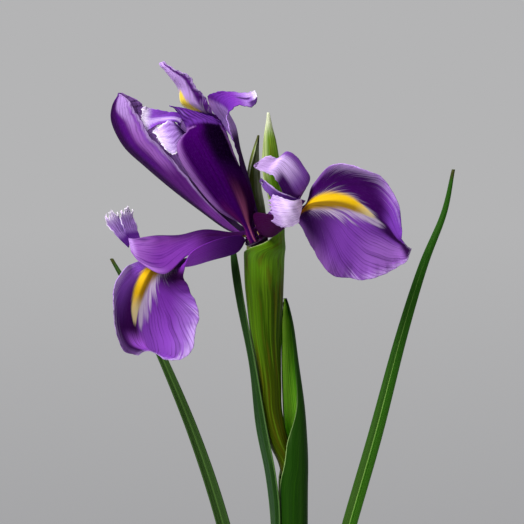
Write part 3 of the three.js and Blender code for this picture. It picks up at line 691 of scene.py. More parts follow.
FALL_LEFT_ROWS = [
    [[-7.6, 3.2, -1.4], [-7.4, -1.2, -5.1], [-6.8, -6.4, 1]],
    [[-17, 5, -4.2], [-17, -3.5, -8], [-16.5, -13, -1.1]],
    [[-26, 4.2, -7.4], [-25, -6, -10.2], [-24, -17, -5.4]],
    [[-36, -1.5, -7.8], [-33, -8.5, -10.4], [-26.5, -15.9, -12.4]],
    [[-45, -11.5, -9], [-38.5, -10.5, -12.5], [-26, -13.5, -15.5]],
    [[-50, -20.5, -14], [-42, -11.5, -18], [-23.5, -13.5, -20]],
    [[-52, -24.5, -22.5], [-44, -11.5, -25], [-21, -13.5, -26.5]],
    [[-51, -24.5, -32], [-44, -10.5, -32.5], [-22, -13.5, -36]],
    [[-48.5, -20.5, -40.5], [-42, -8.5, -38.5], [-26.5, -11.5, -44]],
    [[-43, -14.5, -42.5], [-39, -6.5, -41], [-34.5, -8.5, -44]],
]
FALL_RIGHT_ROWS = [
    [[8, -4.5, 7], [4.6, -8.8, 0.4], [-1.2, -9.2, 8.6]],
    [[13.2, -12.6, 10], [9.9, -16.7, 4], [5.2, -17.8, 8.6]],
    [[18, -21.8, 12.6], [14.8, -25, 8], [12.2, -26.4, 7.2]],
    [[20, -33, 19], [19.5, -32.5, 12], [15.5, -32.5, 4.5]],
    [[26.5, -44.5, 26], [26, -35.5, 13.5], [19.5, -33.5, -3.5]],
    [[35, -48.5, 25.5], [33, -36.5, 12.5], [25, -33.5, -12]],
    [[44, -47.5, 22], [39.5, -35.5, 9], [34.5, -31.5, -15.5]],
    [[50.5, -42.5, 13], [46, -32.5, 4.5], [45.5, -28.5, -13.5]],
    [[52, -35.5, 2.5], [50.5, -29.5, -0.5], [53.5, -26.5, -9]],
    [[52, -29.5, -0.5], [53.5, -28.5, -2.5], [55.5, -26.5, -4.5]],
]
FALL_REAR_ROWS = [
    [[-5.3, 7.7, 8.1], [-3.5, 7.5, 9], [-1.7, 7.2, 9.9]],
    [[-10.7, 12.9, 18.2], [-8, 12.5, 19.5], [-5.3, 12.1, 20.8]],
    [[-15.1, 17.9, 28.5], [-12, 17.5, 30], [-8.9, 17.1, 31.5]],
    [[-19.5, 21.5, 36], [-15.5, 21, 38], [-11.5, 20, 40]],
    [[-22, 22.5, 44], [-20, 24.5, 45], [-14.5, 15.5, 44]],
    [[-24.5, 26.5, 48], [-27.2, 22, 49.4], [-18, 13.5, 49.5]],
    [[-26.5, 27.5, 54], [-28.5, 20.5, 55], [-22, 12.5, 55.5]],
    [[-30, 26.5, 59], [-31.5, 19.5, 59], [-27, 12.5, 60.5]],
    [[-35.3, 20.8, 63.9], [-35.9, 19.4, 64.1], [-34.6, 18, 64.4]],
]


def claw(angle, radius, half_width, rise_along):
    """The first two sections of a petal, standing on the tube at a compass angle in degrees."""
    turn = radians(angle)
    out = np.cos(turn) * TOWARDS_LEFT_FALL + np.sin(turn) * TOWARDS_VIEWER
    side = np.cross(FLOWER_AXIS, out)
    middles = [lift * FLOWER_AXIS + radius * out for lift in (CLAW_LIFT, rise_along)]
    return [[middle + w * side for w in (-half_width, 0, half_width)] for middle in middles]


def on_flower(rows):
    """Sections moved from the flower's base to where it stands."""
    return [[FLOWER_BASE + point for point in row] for row in rows]


def petal_veins(spread, since, count, height=0.05):
    """The UV map of veins that run up the haft and fan out over the blade, and their relief."""
    def lines(u, v):
        fan = 1 + spread * np.clip(u - since, 0, 1) ** 1.2
        return v / fan, u

    def relief(u, v):
        across, _ = lines(u, v)
        return height * np.sin(count * pi * across) * rise(np.abs(v), 1, 0.8)

    return lines, relief


def rim_frill(height, waves, since):
    """Small crimps that grow towards a petal's rim."""
    def frill(u, v):
        side = np.where(v > 0, 1.0, 2.3)
        crimp = np.sin(2 * pi * waves * u + 2.2 * np.sin(13 * u + side))
        crimp = crimp + 0.5 * np.sin(5.1 * waves * u * pi + side)
        rim = np.maximum(rise(np.abs(v), 0.68, 1), rise(u, 0.93, 1))
        return height * rim * crimp * rise(u, since, since + 0.1)
    return frill


def ragged(place, tip_depth, side_depth):
    """The same surface with a torn, feathered outline: short notches at its tip and along its sides."""
    def torn(u, v):
        tip = np.abs(np.sin(9 * v + 1.5 * np.sin(4 * v + 0.7)))
        side = np.abs(np.sin(24 * u + 1.5 * np.sin(9 * u) + np.where(v > 0, 0, 0.8)))
        shorter = 1 - tip_depth * tip * rise(u, 0.5, 1)
        narrower = 1 - side_depth * side * rise(u, 0.1, 0.3)
        return place(u * shorter, v * narrower)
    return torn


def patch(u, v, ends, sides, throat=0):
    """How deep each spot lies in a tongue-shaped patch: 1 on its line, 0 at its edge, less outside."""
    middle, half = (sides[0] + sides[1]) / 2, (sides[1] - sides[0]) / 2
    reach = np.clip((u - ends[0]) / (ends[1] - ends[0]), 0, 1)
    narrowed = half * (1 - 0.95 * reach ** 1.4) + throat * (1 - reach) ** 4
    depth = 1 - np.abs(v - middle) / narrowed
    end = np.minimum((u - ends[0]) / 0.05, (ends[1] - u) / 0.07)
    return np.clip(np.minimum(depth, end), -1, 1)


def petal_finish(name, vein_hue, vein_depth, vein_count, gloss=0.05):
    """Petal skin: painted colour, streaks and fine veins that follow its lines, a soft nap."""
    skin = Finish(name, 0.55, Specular_IOR_Level=gloss, Specular_Tint=VIOLET_SHEEN)
    lines, across, along = uv_parts(skin, "lines")
    paint = skin.add("ShaderNodeVertexColor", layer_name="paint").outputs[0]
    streak = skin.streaks(lines, vein_count * 0.35, 4, 4, 0.6)
    wander = skin.streaks(lines, 9, 7, 2)
    phase = skin.plus(skin.times(across, vein_count * pi), skin.times(wander, 9.0))
    vein = skin.ease(skin.math("SINE", phase), 0.35, 0.95)
    cells = skin.streaks(lines, vein_count * 2.5, 60, 2)
    vein = skin.times(vein, skin.ease(streak, 0.3, 0.62))
    tone = skin.tint(skin.times(vein, vein_depth), paint, vein_hue)
    tone = skin.laid(tone, vein_hue, streak, 0.48, 0.72, vein_depth * 0.8)
    tone = skin.laid(tone, "a468e0", cells, 0.5, 0.8, 0.06)
    skin.bump(skin.plus(vein, skin.times(cells, 0.3)), 0.00008, 0.4)
    return skin, tone, streak, lines, across, along


def fall_finish(name, signal_lit_side, signal_shaded_side, orange_until, rim_share=0.5, cream_from=0.66):
    """A fall's skin with its signal: yellow on a ridge, painted bright on one flank as painted light and ochre
    on the other as painted shade, streaked white beside it, a pale streaked rim.
    """
    skin, tone, streak, lines, across, along = petal_finish(name, "2c0845", 0.42, 190)
    signal, pale, rim = (skin.add("ShaderNodeAttribute", attribute_name=mark).outputs["Fac"]
                         for mark in ("signal", "pale", "rim"))
    jitter = skin.times(skin.plus(streak, -0.5), 1.6)
    tone = skin.laid(tone, "beaec4", skin.plus(pale, skin.times(jitter, 1.6)), 0.1, 1.0, 0.8)
    fringe = skin.plus(skin.streaks(lines, 130, 3, 4, 0.7), -0.5)
    tone = skin.laid(tone, "cdb2e6", skin.plus(rim, skin.times(fringe, 3.0)), 0.4, 1.1, rim_share)
    # Painted light and shade: the signal's lit flank in one yellow, its shaded flank in a darker ochre.
    gold = skin.laid(signal_lit_side, signal_shaded_side, across, -0.02, 0.008)
    gold = skin.laid(gold, "a86a06", streak, 0.5, 0.75, 0.35)
    gold = skin.laid(gold, "b4650a", along, orange_until + 0.07, orange_until - 0.03)
    gold = skin.laid(gold, "d2c49a", along, cream_from, cream_from + 0.1, 0.75)
    edge = skin.plus(signal, skin.times(jitter, 0.5))
    skin.colour(skin.laid(tone, gold, edge, 0.0, 0.55))
    return skin


def rim_mark(u, v):
    """How near each spot is to the petal's rim."""
    side = np.where(v > 0, rise(v, 0.78, 1) * rise(u, 0.6, 0.8), rise(v, -0.4, -1) * rise(u, 0.98, 0.8))
    return np.maximum(side, rise(u, 0.97, 1)) * rise(u, 0.47, 0.6)


def fall_left_paint(u, v):
    """Dark haft with a lit middle, a dark shaded half and a mauve far half that pales at its rim."""
    lit = coats(
        u, v, "5e2584",
        ("8040ae", (0.66, 0.9)),
        ("8d60b4", (0.6, 0.75), (0.6, 1.0), rise(u, 0.95, 0.85)),
        ("26042e", (0.66, 0.52), (0.15, 0.6)),
    )
    return coats(
        u, v, "22042e",
        ("3c0a58", (0.08, 0.2)),
        ("8030ac", (0.2, 0.36)),
        ("2e0838", (0.4, 0.48)),
        ("2a0434", (0.42, 0.5), (0.3, -0.3)),
        (lit, (0.45, 0.6), (-0.02, 0.12)),
        ("38084a", (0.45, 0.6), (0.0, -0.2)),
        ("8c4ec4", (0.84, 0.56), (-0.1, -0.5), rise(u, 0.4, 0.5)),
        ("7c5696", (0.8, 0.9), (-0.5, -0.85)),
        # Painted highlight: the bright magenta bulge where the surface swells towards the light.
        ("ca6cfc", (0.82, 0.92), (0.25, 0.02), rise(v, -0.6, -0.25)),
    )


def fall_right_paint(u, v):
    """Dark throat, an upper half painted deep violet, partly its own violet and partly painted shade, a lower
    half painted mauve, partly its own colour and partly painted light, and a crease beyond the signal painted
    dark as the shade in the fold.
    """
    # The lower half, facing the light: partly painted light.
    lower = coats(
        u, v, "34104a",
        ("70389a", (0.5, 0.7)),
        ("945eb8", (0.68, 0.84), (0.2, 0.5)),
        ("6e4488", (0.8, 0.6), (0.75, 1)),
    )
    # The upper half, turned away from the light: partly painted shade.
    upper = coats(
        u, v, "35034d",
        ("8c58b0", None, (-0.78, -1)),
        ("9a4cd0", (0.7, 0.86), (-0.3, -0.75)),
    )
    return coats(
        u, v, "30022a",
        ("2a0834", (0.3, 0.4)),
        (lower, (0.38, 0.46), (-0.02, 0.1)),
        (upper, (0.38, 0.46), (0.03, -0.08)),
        ("7a3cb0", (0.77, 0.86), (0.0, -0.14)),
        # Painted shade in the crease beyond the signal.
        ("2a063c", (0.74, 0.84), None, rise(np.abs(v - 0.08), 0.22, 0.05)),
        ("300c42", (0.9, 0.96), (-0.3, 0.0)),
    )


def fall_rear_paint(u, v):
    """Dark haft, a pale lilac blade and one side painted dark as the shade on the half that turns away from
    the light.
    """
    return coats(
        u, v, "3a0a52",
        ("5a2290", (0.45, 0.55)),
        ("c8a0e8", (0.62, 0.66)),
        # Painted shade on the side turned away from the light.
        ("501a70", (0.4, 0.5), (0.66, 0.8)),
    )


def fall(name, angle, half_width, rows, paint, finish, signal, pale, ridge, ruffle=0.9, span=(0.42, 0.85),
         grid=(124, 172)):
    """One fall on its claw at a compass angle, waved and crimped, with a ridge under its signal. The
    signal and the pale patch beside it are each given by their ends along the petal and their sides
    across it, and the signal by how much it widens at the throat."""
    lines, relief = petal_veins(14, 0.42, 31)
    frill = rim_frill(0.2, 23, 0.45)
    sections = on_flower([*claw(angle, PETAL_RING, half_width, 1.6), *rows])
    surface = blade(sections, ruffle=ruffle, waves=7, since=0.45, ridge=ridge, span=span,
                    extra=lambda u, v: relief(u, v) + frill(u, v))
    marks = {
        "signal": lambda u, v: patch(u, v, *signal),
        "pale": lambda u, v: patch(u, v, *pale),
        "rim": rim_mark,
    }
    mesh = sheet(name, ragged(surface, 0, 0.018), *grid, lines=lines, paint=paint, marks=marks)
    return walled(piece(name + "_petal", mesh, finish, [name]), PETAL_THICKNESS)


fall("fall_left", LEFT_FALL, 1.6, FALL_LEFT_ROWS, fall_left_paint,
     fall_finish("left fall", "e0b010", "8a6606", 0.43),
     signal=((0.42, 0.82), (-0.38, 0.34), 0.35), pale=((0.43, 0.84), (-0.46, 0.74)), ridge=1.2)
fall("fall_right", RIGHT_FALL, -1.6, FALL_RIGHT_ROWS, fall_right_paint,
     fall_finish("right fall", "d6ac0c", "8a6a10", 0.4, rim_share=0.4),
     signal=((0.32, 0.78), (-0.41, 0.37), 0.3), pale=((0.45, 0.84), (-0.5, 0.56)), ridge=-1.2,
     span=(0.38, 0.85))
# The rear fall's signal colours are painted paler and brighter than its own yellow: painted light where the
# other petals shade it.
fall("fall_rear", REAR_FALL, -1.6, FALL_REAR_ROWS, fall_rear_paint,
     fall_finish("rear fall", "fff2a0", "ffe050", 0.2, cream_from=0.85),
     signal=((0.62, 0.8), (-0.6, 0.75)), pale=((0.63, 0.84), (-1.3, 1.2)), ridge=0, ruffle=0.5,
     grid=(80, 130))

# The standards are the three inner petals. They stand up from the tube, each folded lengthwise like a boat
# with its keel outwards, painted darker at the keel as painted shade and paler at the waved margins as painted
# light. Each stands halfway between two falls.
STANDARD_GRID = (96, 144)
STANDARD_FRONT_ROWS = [
    [[-5.5, -1.5, 4.8], [-4, -5.5, 5], [-2, -3.5, 5.5]],
    [[-14, 0.5, 10], [-8.5, -9.5, 14], [-1, -1.5, 13]],
    [[-21.5, 1.5, 18.5], [-13, -12.5, 23], [-4, 0.5, 21]],
    [[-27.5, 1.5, 27.5], [-17, -12.5, 31], [-7.5, 3.5, 28.5]],
    [[-29, 2.5, 34], [-20, -9.5, 37], [-10, 6.5, 35]],
    [[-25.5, 3.5, 39.5], [-20, -4.5, 41], [-12.5, 8.5, 40.5]],
    [[-28, 6.5, 44.5], [-23.5, 1.5, 45.5], [-15, 10.5, 43]],
    [[-32, 9.5, 48.5], [-30.5, 5.5, 48], [-26.5, 11.5, 48]],
]
STANDARD_LEFT_ROWS = [
    [[-9, 3.5, 4.5], [-10.5, 8.5, 3], [-7.5, 12.5, 6]],
    [[-18.5, 4.5, 13.5], [-20.5, 12.5, 10], [-15.5, 18.5, 15.5]],
    [[-26.5, 5.5, 23.5], [-31, 14.5, 18], [-23, 22.5, 25.5]],
    [[-34, 5.5, 32], [-41, 16.5, 26.5], [-29.5, 25.5, 34.5]],
    [[-40, 5.5, 38], [-48.5, 17.5, 33.5], [-36, 26.5, 40]],
    [[-43, 7.5, 44.5], [-53, 18.5, 42], [-40, 25.5, 46]],
    [[-46.5, 10.5, 49.5], [-53, 18.5, 48], [-44, 22.5, 50.5]],
    [[-49.5, 15.5, 52.5], [-50.5, 17.5, 53], [-49, 19.5, 53]],
]
STANDARD_RIGHT_ROWS = [
    [[-0.5, 1, 9], [0.5, 4, 8], [-1.2, 5, 9.6]],
    [[-4.5, 3, 19.5], [-2.5, 7, 19.5], [-3.6, 10, 20.6]],
    [[-7.2, 5.2, 31.5], [-6, 13, 32], [-7.8, 18.5, 34]],
    [[-10, 6.5, 39.5], [-8, 19, 41], [-13.5, 26, 42.5]],
    [[-11, 7.5, 45], [-11.5, 17.5, 48], [-18.3, 23.5, 51.4]],
    [[-7.5, 6.5, 48], [-8.5, 15.5, 51], [-13, 20.5, 53.5]],
    [[-2.5, 6.5, 48], [-3.5, 12.5, 50.5], [-4.5, 16.5, 53.5]],
    [[0, 7.5, 50.5], [0, 9.5, 52], [-0.5, 11.5, 53.5]],
]


def standard_front_paint(u, v):
    """Nearly black to the right, its own deep violet darkened as painted shade, a lilac left margin painted as
    lit, a pinkish foot and a folded tip whose crinkles are dark stripes of painted shade.
    """
    folded = 0.5 + 0.5 * np.sin(21 * v + 5 * np.sin(30 * u))
    strip = coats(
        u, v, "5e2c8a",
        ("8a5cba", (0.84, 0.92), None, rise(np.abs(v + 0.6), 0.3, 0.1)),
        # Painted shade: dark stripes in the crinkled folds of the tip.
        ("2c0848", (0.8, 0.86), None, folded * 0.85),
    )
    return coats(
        u, v, "30004a",
        # Painted shade: the nearly black face.
        ("0a0014", (0.4, 0.56), (-0.2, 0.3)),
        ("2a0030", (0.5, 0.38), (-0.1, 0.3)),
        ("5a1258", (0.38, 0.27), (-0.2, -0.7)),
        # Painted light: the lilac left margin.
        ("54206c", (0.2, 0.3), (-0.68, -0.84)),
        ("8a5ca2", (0.15, 0.25), (-0.76, -0.95)),
        ("8e4668", (0.46, 0.2), None, rise(np.abs(v - 0.4), 0.32, 0.05)),
        ("7c4e94", (0.5, 0.6), (0.86, 0.98)),
        ("8a58a2", None, (-0.25, -0.6), rise(np.abs(u - 0.775), 0.014, 0.0)),
        (strip, (0.78, 0.82)),
    )


def standard_left_paint(u, v):
    """Dark along the keel as painted shade, a pale lilac field between it and the margin painted as lit,
    brightest near the tip, and an inner margin painted lighter as painted light where it lies in shade.
    """
    inner = -0.72 + 0.2 * rise(u, 0.76, 0.88)
    pale = coats(
        u, v, "84509e",
        ("9674b2", (0.66, 0.84)),
        ("744098", (0.9, 0.8), None, rise(np.abs(v + 0.93), 0.05, 0.02)),
    )
    return coats(
        # The dark base is painted shade along the keel, turned away from the light.
        u, v, "4c1a62",
        ("743290", (0.37, 0.29), (-0.45, -0.7)),
        # Painted light: the pale field on the flank that faces the light.
        (pale, (0.45, 0.55), (inner + 0.06, inner - 0.1)),
        ("420a64", (0.46, 0.56), (inner - 0.02, inner + 0.1)),
        ("220430", (0.98, 0.9), (-0.62, -0.42)),
        # Painted light: the inner margin, which lies in shade, lightened.
        ("9468b4", (0.3, 0.5), (0.6, 0.9)),
        ("8a70a0", (0.2, 0.4), (-0.93, -0.985)),
    )


def standard_right_paint(u, v):
    """Lilac where it arches over, painted paler than its own colour as painted light where the arch lies in
    dim light, violet beyond, a pale end with a dark rolled edge and a white tip.
    """
    return coats(
        u, v, "2a0a3a",
        # Painted light: the arch's lilac, lightened where it lies in dim light.
        ("b484dc", (0.42, 0.5), (0.3, 0.7)),
        ("b48cd8", (0.5, 0.57)),
        ("602690", (0.64, 0.68)),
        ("6c2c98", (0.72, 0.8)),
        ("8c64b0", (0.8, 0.88)),
        ("ae90cc", (0.86, 0.92), (0.1, 0.4)),
        ("3c1c58", (0.78, 0.84), None, rise(np.abs(v - 0.12), 0.2, 0.08) * rise(u, 0.94, 0.9)),
        ("3a1e54", (0.86, 0.92), (-0.2, -0.45)),
        ("e6dcf0", (0.93, 0.985), (-0.6, -0.2)),
    )


def standard(name, angle, half_width, rows, paint, finish):
    """One standard on its claw at a compass angle, ribbed, waved and crimped at its rim."""
    lines, relief = petal_veins(1.2, 0.3, 17, height=0.04)
    frill = rim_frill(0.16, 15, 0.35)
    sections = on_flower([*claw(angle, PETAL_RING, half_width, 2.8), *rows])
    surface = blade(sections, ruffle=0.5, waves=4, since=0.6, extra=lambda u, v: relief(u, v) + frill(u, v))
    mesh = sheet(name, surface, *STANDARD_GRID, lines=lines, paint=paint)
    return walled(piece(name + "_petal", mesh, finish, [name]), PETAL_THICKNESS)


def plain_petal(*skin_facts, **gloss):
    """A petal's skin without a signal."""
    skin, tone, *_ = petal_finish(*skin_facts, **gloss)
    skin.colour(tone)
    return skin


standard("standard_front", LEFT_FALL + 60, 1.6, STANDARD_FRONT_ROWS, standard_front_paint,
         plain_petal("front standard", "12001c", 0.5, 44, gloss=0))
standard("standard_left", REAR_FALL + 60, -1.6, STANDARD_LEFT_ROWS, standard_left_paint,
         plain_petal("left standard", "3a0a52", 0.55, 44))
standard("standard_right", RIGHT_FALL + 60, 1.6, STANDARD_RIGHT_ROWS, standard_right_paint,
         plain_petal("right standard", "45146a", 0.5, 40))

# The style arms arch over the hafts like a second, smaller petal. Each ends in upright crests,
# thin, frilled and nearly white at their edges: two on the left and rear arms. The right arm is a
# narrow fold with a tall crest, a serrated lobe and a small lip.
STYLE_RING = 1.7
CREST_THICKNESS = 0.3
STYLE_GRID = (64, 110)
CREST_GRID = (50, 50)
STYLE_LEFT_ROWS = [
    [[-9, 2.8, -0.4], [-9, -1.5, 2], [-8, -4.4, -0.8]],
    [[-18, 4, -1.6], [-19, -3.5, 3], [-17, -10, -2.4]],
    [[-26.5, 3.6, -4.4], [-28, -5.5, 1], [-25.5, -13.8, -6.6]],
    [[-34.5, 0.8, -6.2], [-37, -8.5, 0.5], [-33.5, -17.4, -13]],
    [[-42.5, -3.5, -4.5], [-44, -11.5, -0.5], [-42, -18.5, -9]],
    [[-46, -9.5, -1], [-46.5, -12.5, -0.5], [-45.5, -17.5, -5]],
]
STYLE_LEFT_CRESTS = [
    [
        [[-45.5, -10.5, 0], [-46, -11.5, -1.5], [-46.5, -13.5, -3.5]],
        [[-47.5, -8.5, 3.5], [-49.5, -11.5, 1.5], [-51.5, -14.5, 1.5]],
        [[-50, -9.5, 8], [-52.5, -13.5, 7], [-55, -15.5, 6]],
        [[-52, -11.5, 11], [-53.5, -13.5, 10], [-54.5, -14.5, 9]],
    ],
    [
        [[-42.5, -7.5, 0], [-44, -9.5, -0.5], [-45.5, -11.5, -1.5]],
        [[-43.5, -4.5, 3.5], [-46.5, -8.5, 3.5], [-48.5, -11.5, 3.5]],
        [[-45, -4.5, 9], [-47.5, -8.5, 8.5], [-49.5, -11.5, 8.5]],
        [[-46, -6.5, 12], [-47.5, -8.5, 11.5], [-49.5, -9.5, 10]],
    ],
]
STYLE_RIGHT_ROWS = [
    [[4.2, -6.3, 6.9], [2.8, -7.2, 7.6], [2.9, -7.7, 6]],
    [[9.9, -14.3, 11], [6.8, -16, 11.6], [6.9, -17, 8.8]],
    [[15.2, -22.4, 14.2], [11, -25, 15], [11.2, -27, 10.4]],
    [[17.6, -31.2, 17.8], [15.6, -32.4, 15.6], [14.5, -33.5, 9.8]],
]
STYLE_RIGHT_CRESTS = [
    [
        [[17.5, -30.6, 17.8], [16.4, -31.3, 16.2], [15.4, -31.8, 13.8]],
        [[19, -34.2, 21.9], [16, -36, 17.8], [10, -35.8, 14.6]],
        [[15.9, -35.5, 27.2], [12.6, -38.8, 22.8], [8, -40, 18]],
        [[11.3, -36.5, 31.2], [8.6, -40.5, 27], [6, -43.5, 22]],
        [[7.4, -38.4, 28.6], [4.8, -41.2, 26], [3, -44, 23]],
        [[3.6, -39.6, 29.4], [1.6, -42, 26.6], [0.6, -44, 24.4]],
        [[-1.2, -42, 26.2], [-1.4, -42.8, 25.8], [-1.2, -43.6, 25.2]],
    ],
    [
        [[15.3, -31.8, 14], [14.6, -32.2, 12.2], [14, -32.6, 10.2]],
        [[15.5, -36.5, 14], [16, -37.5, 11], [15, -37, 7.5]],
        [[12, -43.5, 13.5], [13, -45.5, 9.5], [14, -41.5, 4.5]],
        [[6.5, -43.5, 15.5], [7.5, -46.5, 9.5], [9.5, -43.5, 3.5]],
        [[4, -41.5, 16], [4, -44.5, 10.5], [5.5, -42.5, 5]],
    ],
    [
        [[17.4, -32.6, 13.4], [16.8, -33.2, 12.6], [16, -33.6, 11.6]],
        [[12.4, -39, 14.8], [11.8, -40.4, 13.8], [11, -41.4, 12]],
        [[6.8, -42, 17.4], [5.8, -43, 16.2], [5, -43.8, 14.6]],
        [[1.6, -40.5, 21.8], [1, -40.6, 21.2], [0.6, -40.8, 20.4]],
    ],
]
STYLE_REAR_ROWS = [
    [[-5.6, 6.3, 8.7], [-4.4, 4.8, 10], [-2.4, 5.8, 10.3]],
    [[-11.3, 11.1, 18.9], [-9.5, 8, 21.2], [-5.9, 10.3, 21.5]],
    [[-16.2, 15.8, 29], [-14, 11.2, 32.3], [-9.2, 14.8, 32.6]],
    [[-24, 13, 36], [-20.5, 12.5, 40], [-16.5, 15, 42]],
    [[-29.5, 9, 40], [-27.5, 11, 44], [-23.5, 13.5, 45.5]],
]
STYLE_REAR_CRESTS = [
    [
        [[-28.3, 9.6, 41], [-27, 11, 43.3], [-24.5, 12.8, 44.8]],
        [[-30, 8.5, 42.5], [-30.5, 11, 44.2], [-29, 13, 46]],
        [[-35.5, 9.5, 41.5], [-35.5, 11.5, 44], [-34.5, 12.5, 46.5]],
        [[-40.5, 8.5, 39], [-40.5, 10.5, 43.5], [-40, 11.5, 48]],
        [[-42.5, 8.5, 40.5], [-42.5, 9.5, 44], [-42, 10.5, 48]],
    ],
    [
        [[-25.2, 12, 37.6], [-26.6, 11, 38.8], [-28, 10.1, 40]],
        [[-26, 7, 34.5], [-29, 6, 39], [-31.5, 6.6, 43]],
        [[-30, 4.4, 30.3], [-32.5, 4.5, 36], [-35.5, 6, 41]],
        [[-34.2, 4.3, 32.8], [-36.5, 4.8, 36], [-38.5, 5.5, 39]],
    ],
]


def crest_paint(u, v):
    """Dark at the root, streaked lilac, with nearly white feathered tips."""
    streaks = 0.5 + 0.5 * np.sin(23 * v + 4 * np.sin(5 * u + 2 * v))
    return coats(
        u, v, "421468",
        ("b88ee0", (0.15, 0.38)),
        ("e0c8f8", (0.45, 0.8)),
        ("6a3a98", (1.0, 0.45), None, 0.5 * streaks ** 2),
        ("f2e8f8", None, None, np.maximum(rise(u, 0.85, 1), rise(np.abs(v), 0.85, 1) * rise(u, 0.3, 0.5))),
    )


def feather_paint(u, v):
    """The rear style's upper crest: white and feathered at its left end, violet nearer the arm."""
    return coats(
        u, v, "6a30a0",
        ("8044b4", (0.3, 0.5)),
        ("ccaee8", None, None, 0.8 * rise(np.abs(v + 0.3), 0.5, 0.1)),
        ("f0e2fa", (0.62, 0.85)),
    )


def lobe_paint(u, v):
    """Pale lilac with faint streaks across, paler at its root as painted light where it curves away into
    shade, a little deeper at its serrated edge.
    """
    return coats(
        u, v, "c8a2e2",
        # Painted light: the root lightened where it curves away into shade.
        ("e4caf6", (0.04, 0.2)),
        ("b494ce", (0.6, 0.95)),
        ("a680c4", None, None, 0.3 * (0.5 + 0.5 * np.sin(31 * u + 3 * v))),
    )


def flag_paint(u, v):
    """The right style's upper crest: pale, darker at its outer edge as painted shade, with the hollow under it
    painted dark as shade.
    """
    return coats(
        u, v, "6e4092",
        ("d0b2ea", (0.2, 0.45), (-0.8, -0.35)),
        ("b898d0", (0.55, 0.7)),
        # Painted shade in the hollow under the crest.
        ("3a1050", (0.5, 0.38), (0.3, 0.6)),
        ("cdb9dc", (0.5, 0.65), None, rise(np.abs(v), 0.88, 1)),
    )


def lip_paint(u, v):
    """The right style's small lip: violet with a pale edge."""
    return coats(
        u, v, "4a2270",
        ("6a4690", (0.4, 0.9)),
        ("c0a4d8", (0.2, 0.4), (-0.5, -0.95)),
    )


def style_left_paint(u, v):
    """Dark at the throat and lilac at the crests, blotched along its middle."""
    blotch = 0.5 + 0.5 * np.sin(46 * u + 3 * np.sin(9 * v)) * np.sin(17 * u + 6 * v)
    return coats(
        u, v, "2c0830",
        ("30083c", (0.25, 0.36)),
        ("441658", (0.4, 0.52)),
        ("642a7e", (0.52, 0.68)),
        ("8650a2", (0.68, 0.82)),
        ("a87ec6", (0.84, 0.94)),
        ("6a2c8c", (0.42, 0.56), (0.3, 0.8), rise(u, 0.9, 0.7)),
        ("240638", (0.3, 0.42), (0.5, 0.0), blotch * rise(u, 0.96, 0.84) * 0.9),
        ("a06ac0", (0.66, 0.8), (0.85, 0.98)),
    )


def style_pale_paint(u, v):
    """Dark at the throat and evenly paler to the crests."""
    return coats(
        u, v, "3a1248",
        ("6c3c8c", (0.35, 0.6)),
        ("9a70bc", (0.7, 0.95)),
    )


def style(name, angle, half_width, rows, crests, paint, crest_paints=None, tears=(0.12, 0.07)):
    """One style arm and its crests, joined in one mesh. Tears are how deep the crests' tips and sides
    are notched, as shares of their length and width."""
    lines, relief = petal_veins(0.6, 0.3, 15)
    crest_frill = rim_frill(0.12, 6, 0.25)
    sections = on_flower([*claw(angle, STYLE_RING, half_width, 4), *rows])
    surface = blade(sections, extra=relief)
    parts = [sheet(name, surface, *STYLE_GRID, lines=lines, paint=paint)]
    for number, crest_rows in enumerate(crests):
        crest_surface = blade(on_flower(crest_rows), ruffle=0.5, waves=3, since=0.3,
                              extra=lambda u, v: relief(u, v) + crest_frill(u, v))
        parts.append(sheet(f"{name}_crest_{number}", ragged(crest_surface, *tears), *CREST_GRID,
                           lines=lambda u, v: (0.8 * v, 0.4 * u),
                           paint=crest_paints[number] if crest_paints else crest_paint))
    bm = bmesh.new()
    for part in parts:
        bm.from_mesh(part)
    bm.to_mesh(parts[0])
    bm.free()
    made = piece(name + "_arm", parts[0], style_finish, [name])
    return walled(made, CREST_THICKNESS)


style_finish = plain_petal("style arm", "46146a", 0.55, 34)
style("style_left", LEFT_FALL, 0.8, STYLE_LEFT_ROWS, STYLE_LEFT_CRESTS, style_left_paint, tears=(0.32, 0.08))
style("style_right", RIGHT_FALL, -0.8, STYLE_RIGHT_ROWS, STYLE_RIGHT_CRESTS, style_pale_paint,
      (flag_paint, lobe_paint, lip_paint))
style("style_rear", REAR_FALL, -0.8, STYLE_REAR_ROWS, STYLE_REAR_CRESTS, style_pale_paint,
      (feather_paint, crest_paint), tears=(0.07, 0.05))

# The stamens lie hidden between each haft and its style arm: a thin filament that swells to a
# long anther, yellow and dusty with pollen.
STAMEN_RING = 2.9
STAMEN_RADII = (0.45, 0.45, 0.45, 0.5, 0.9, 0.5)
STAMEN_ROUTES = {
    "left": (LEFT_FALL, [(-9, -1.5, -0.6), (-18, -3.5, -2), (-26, -5.5, -3), (-35, -8.5, -4)]),
    "right": (RIGHT_FALL, [(3.6, -8.1, 4.4), (8.1, -16.6, 7.7), (12.4, -25.1, 11.5), (15.4, -30, 13)]),
    "rear": (REAR_FALL, [(-3.9, 6.1, 9.5), (-8.7, 10.3, 20.3), (-13, 14.4, 31.2), (-16, 16.8, 36.5)]),
}
pollen = Finish("pollen", 0.85, Sheen_Weight=0.3)
grains = pollen.noise(pollen.place(), 2600, 3)
pollen.colour(pollen.laid("c99a2a", "f2dc8a", grains, 0.4, 0.65))
pollen.bump(grains, 0.0001, 0.8)
for stamen_name, (compass, route) in STAMEN_ROUTES.items():
    seats = [row[1] for row in claw(compass, STAMEN_RING, 0, 2.8)]
    path = [(*(FLOWER_BASE + spot), radius) for spot, radius in zip([*seats, *route], STAMEN_RADII)]
    piece(f"stamen_{stamen_name}_anther", stalk(f"stamen_{stamen_name}", path, 60, 16), pollen,
          [f"stamen_{stamen_name}"])

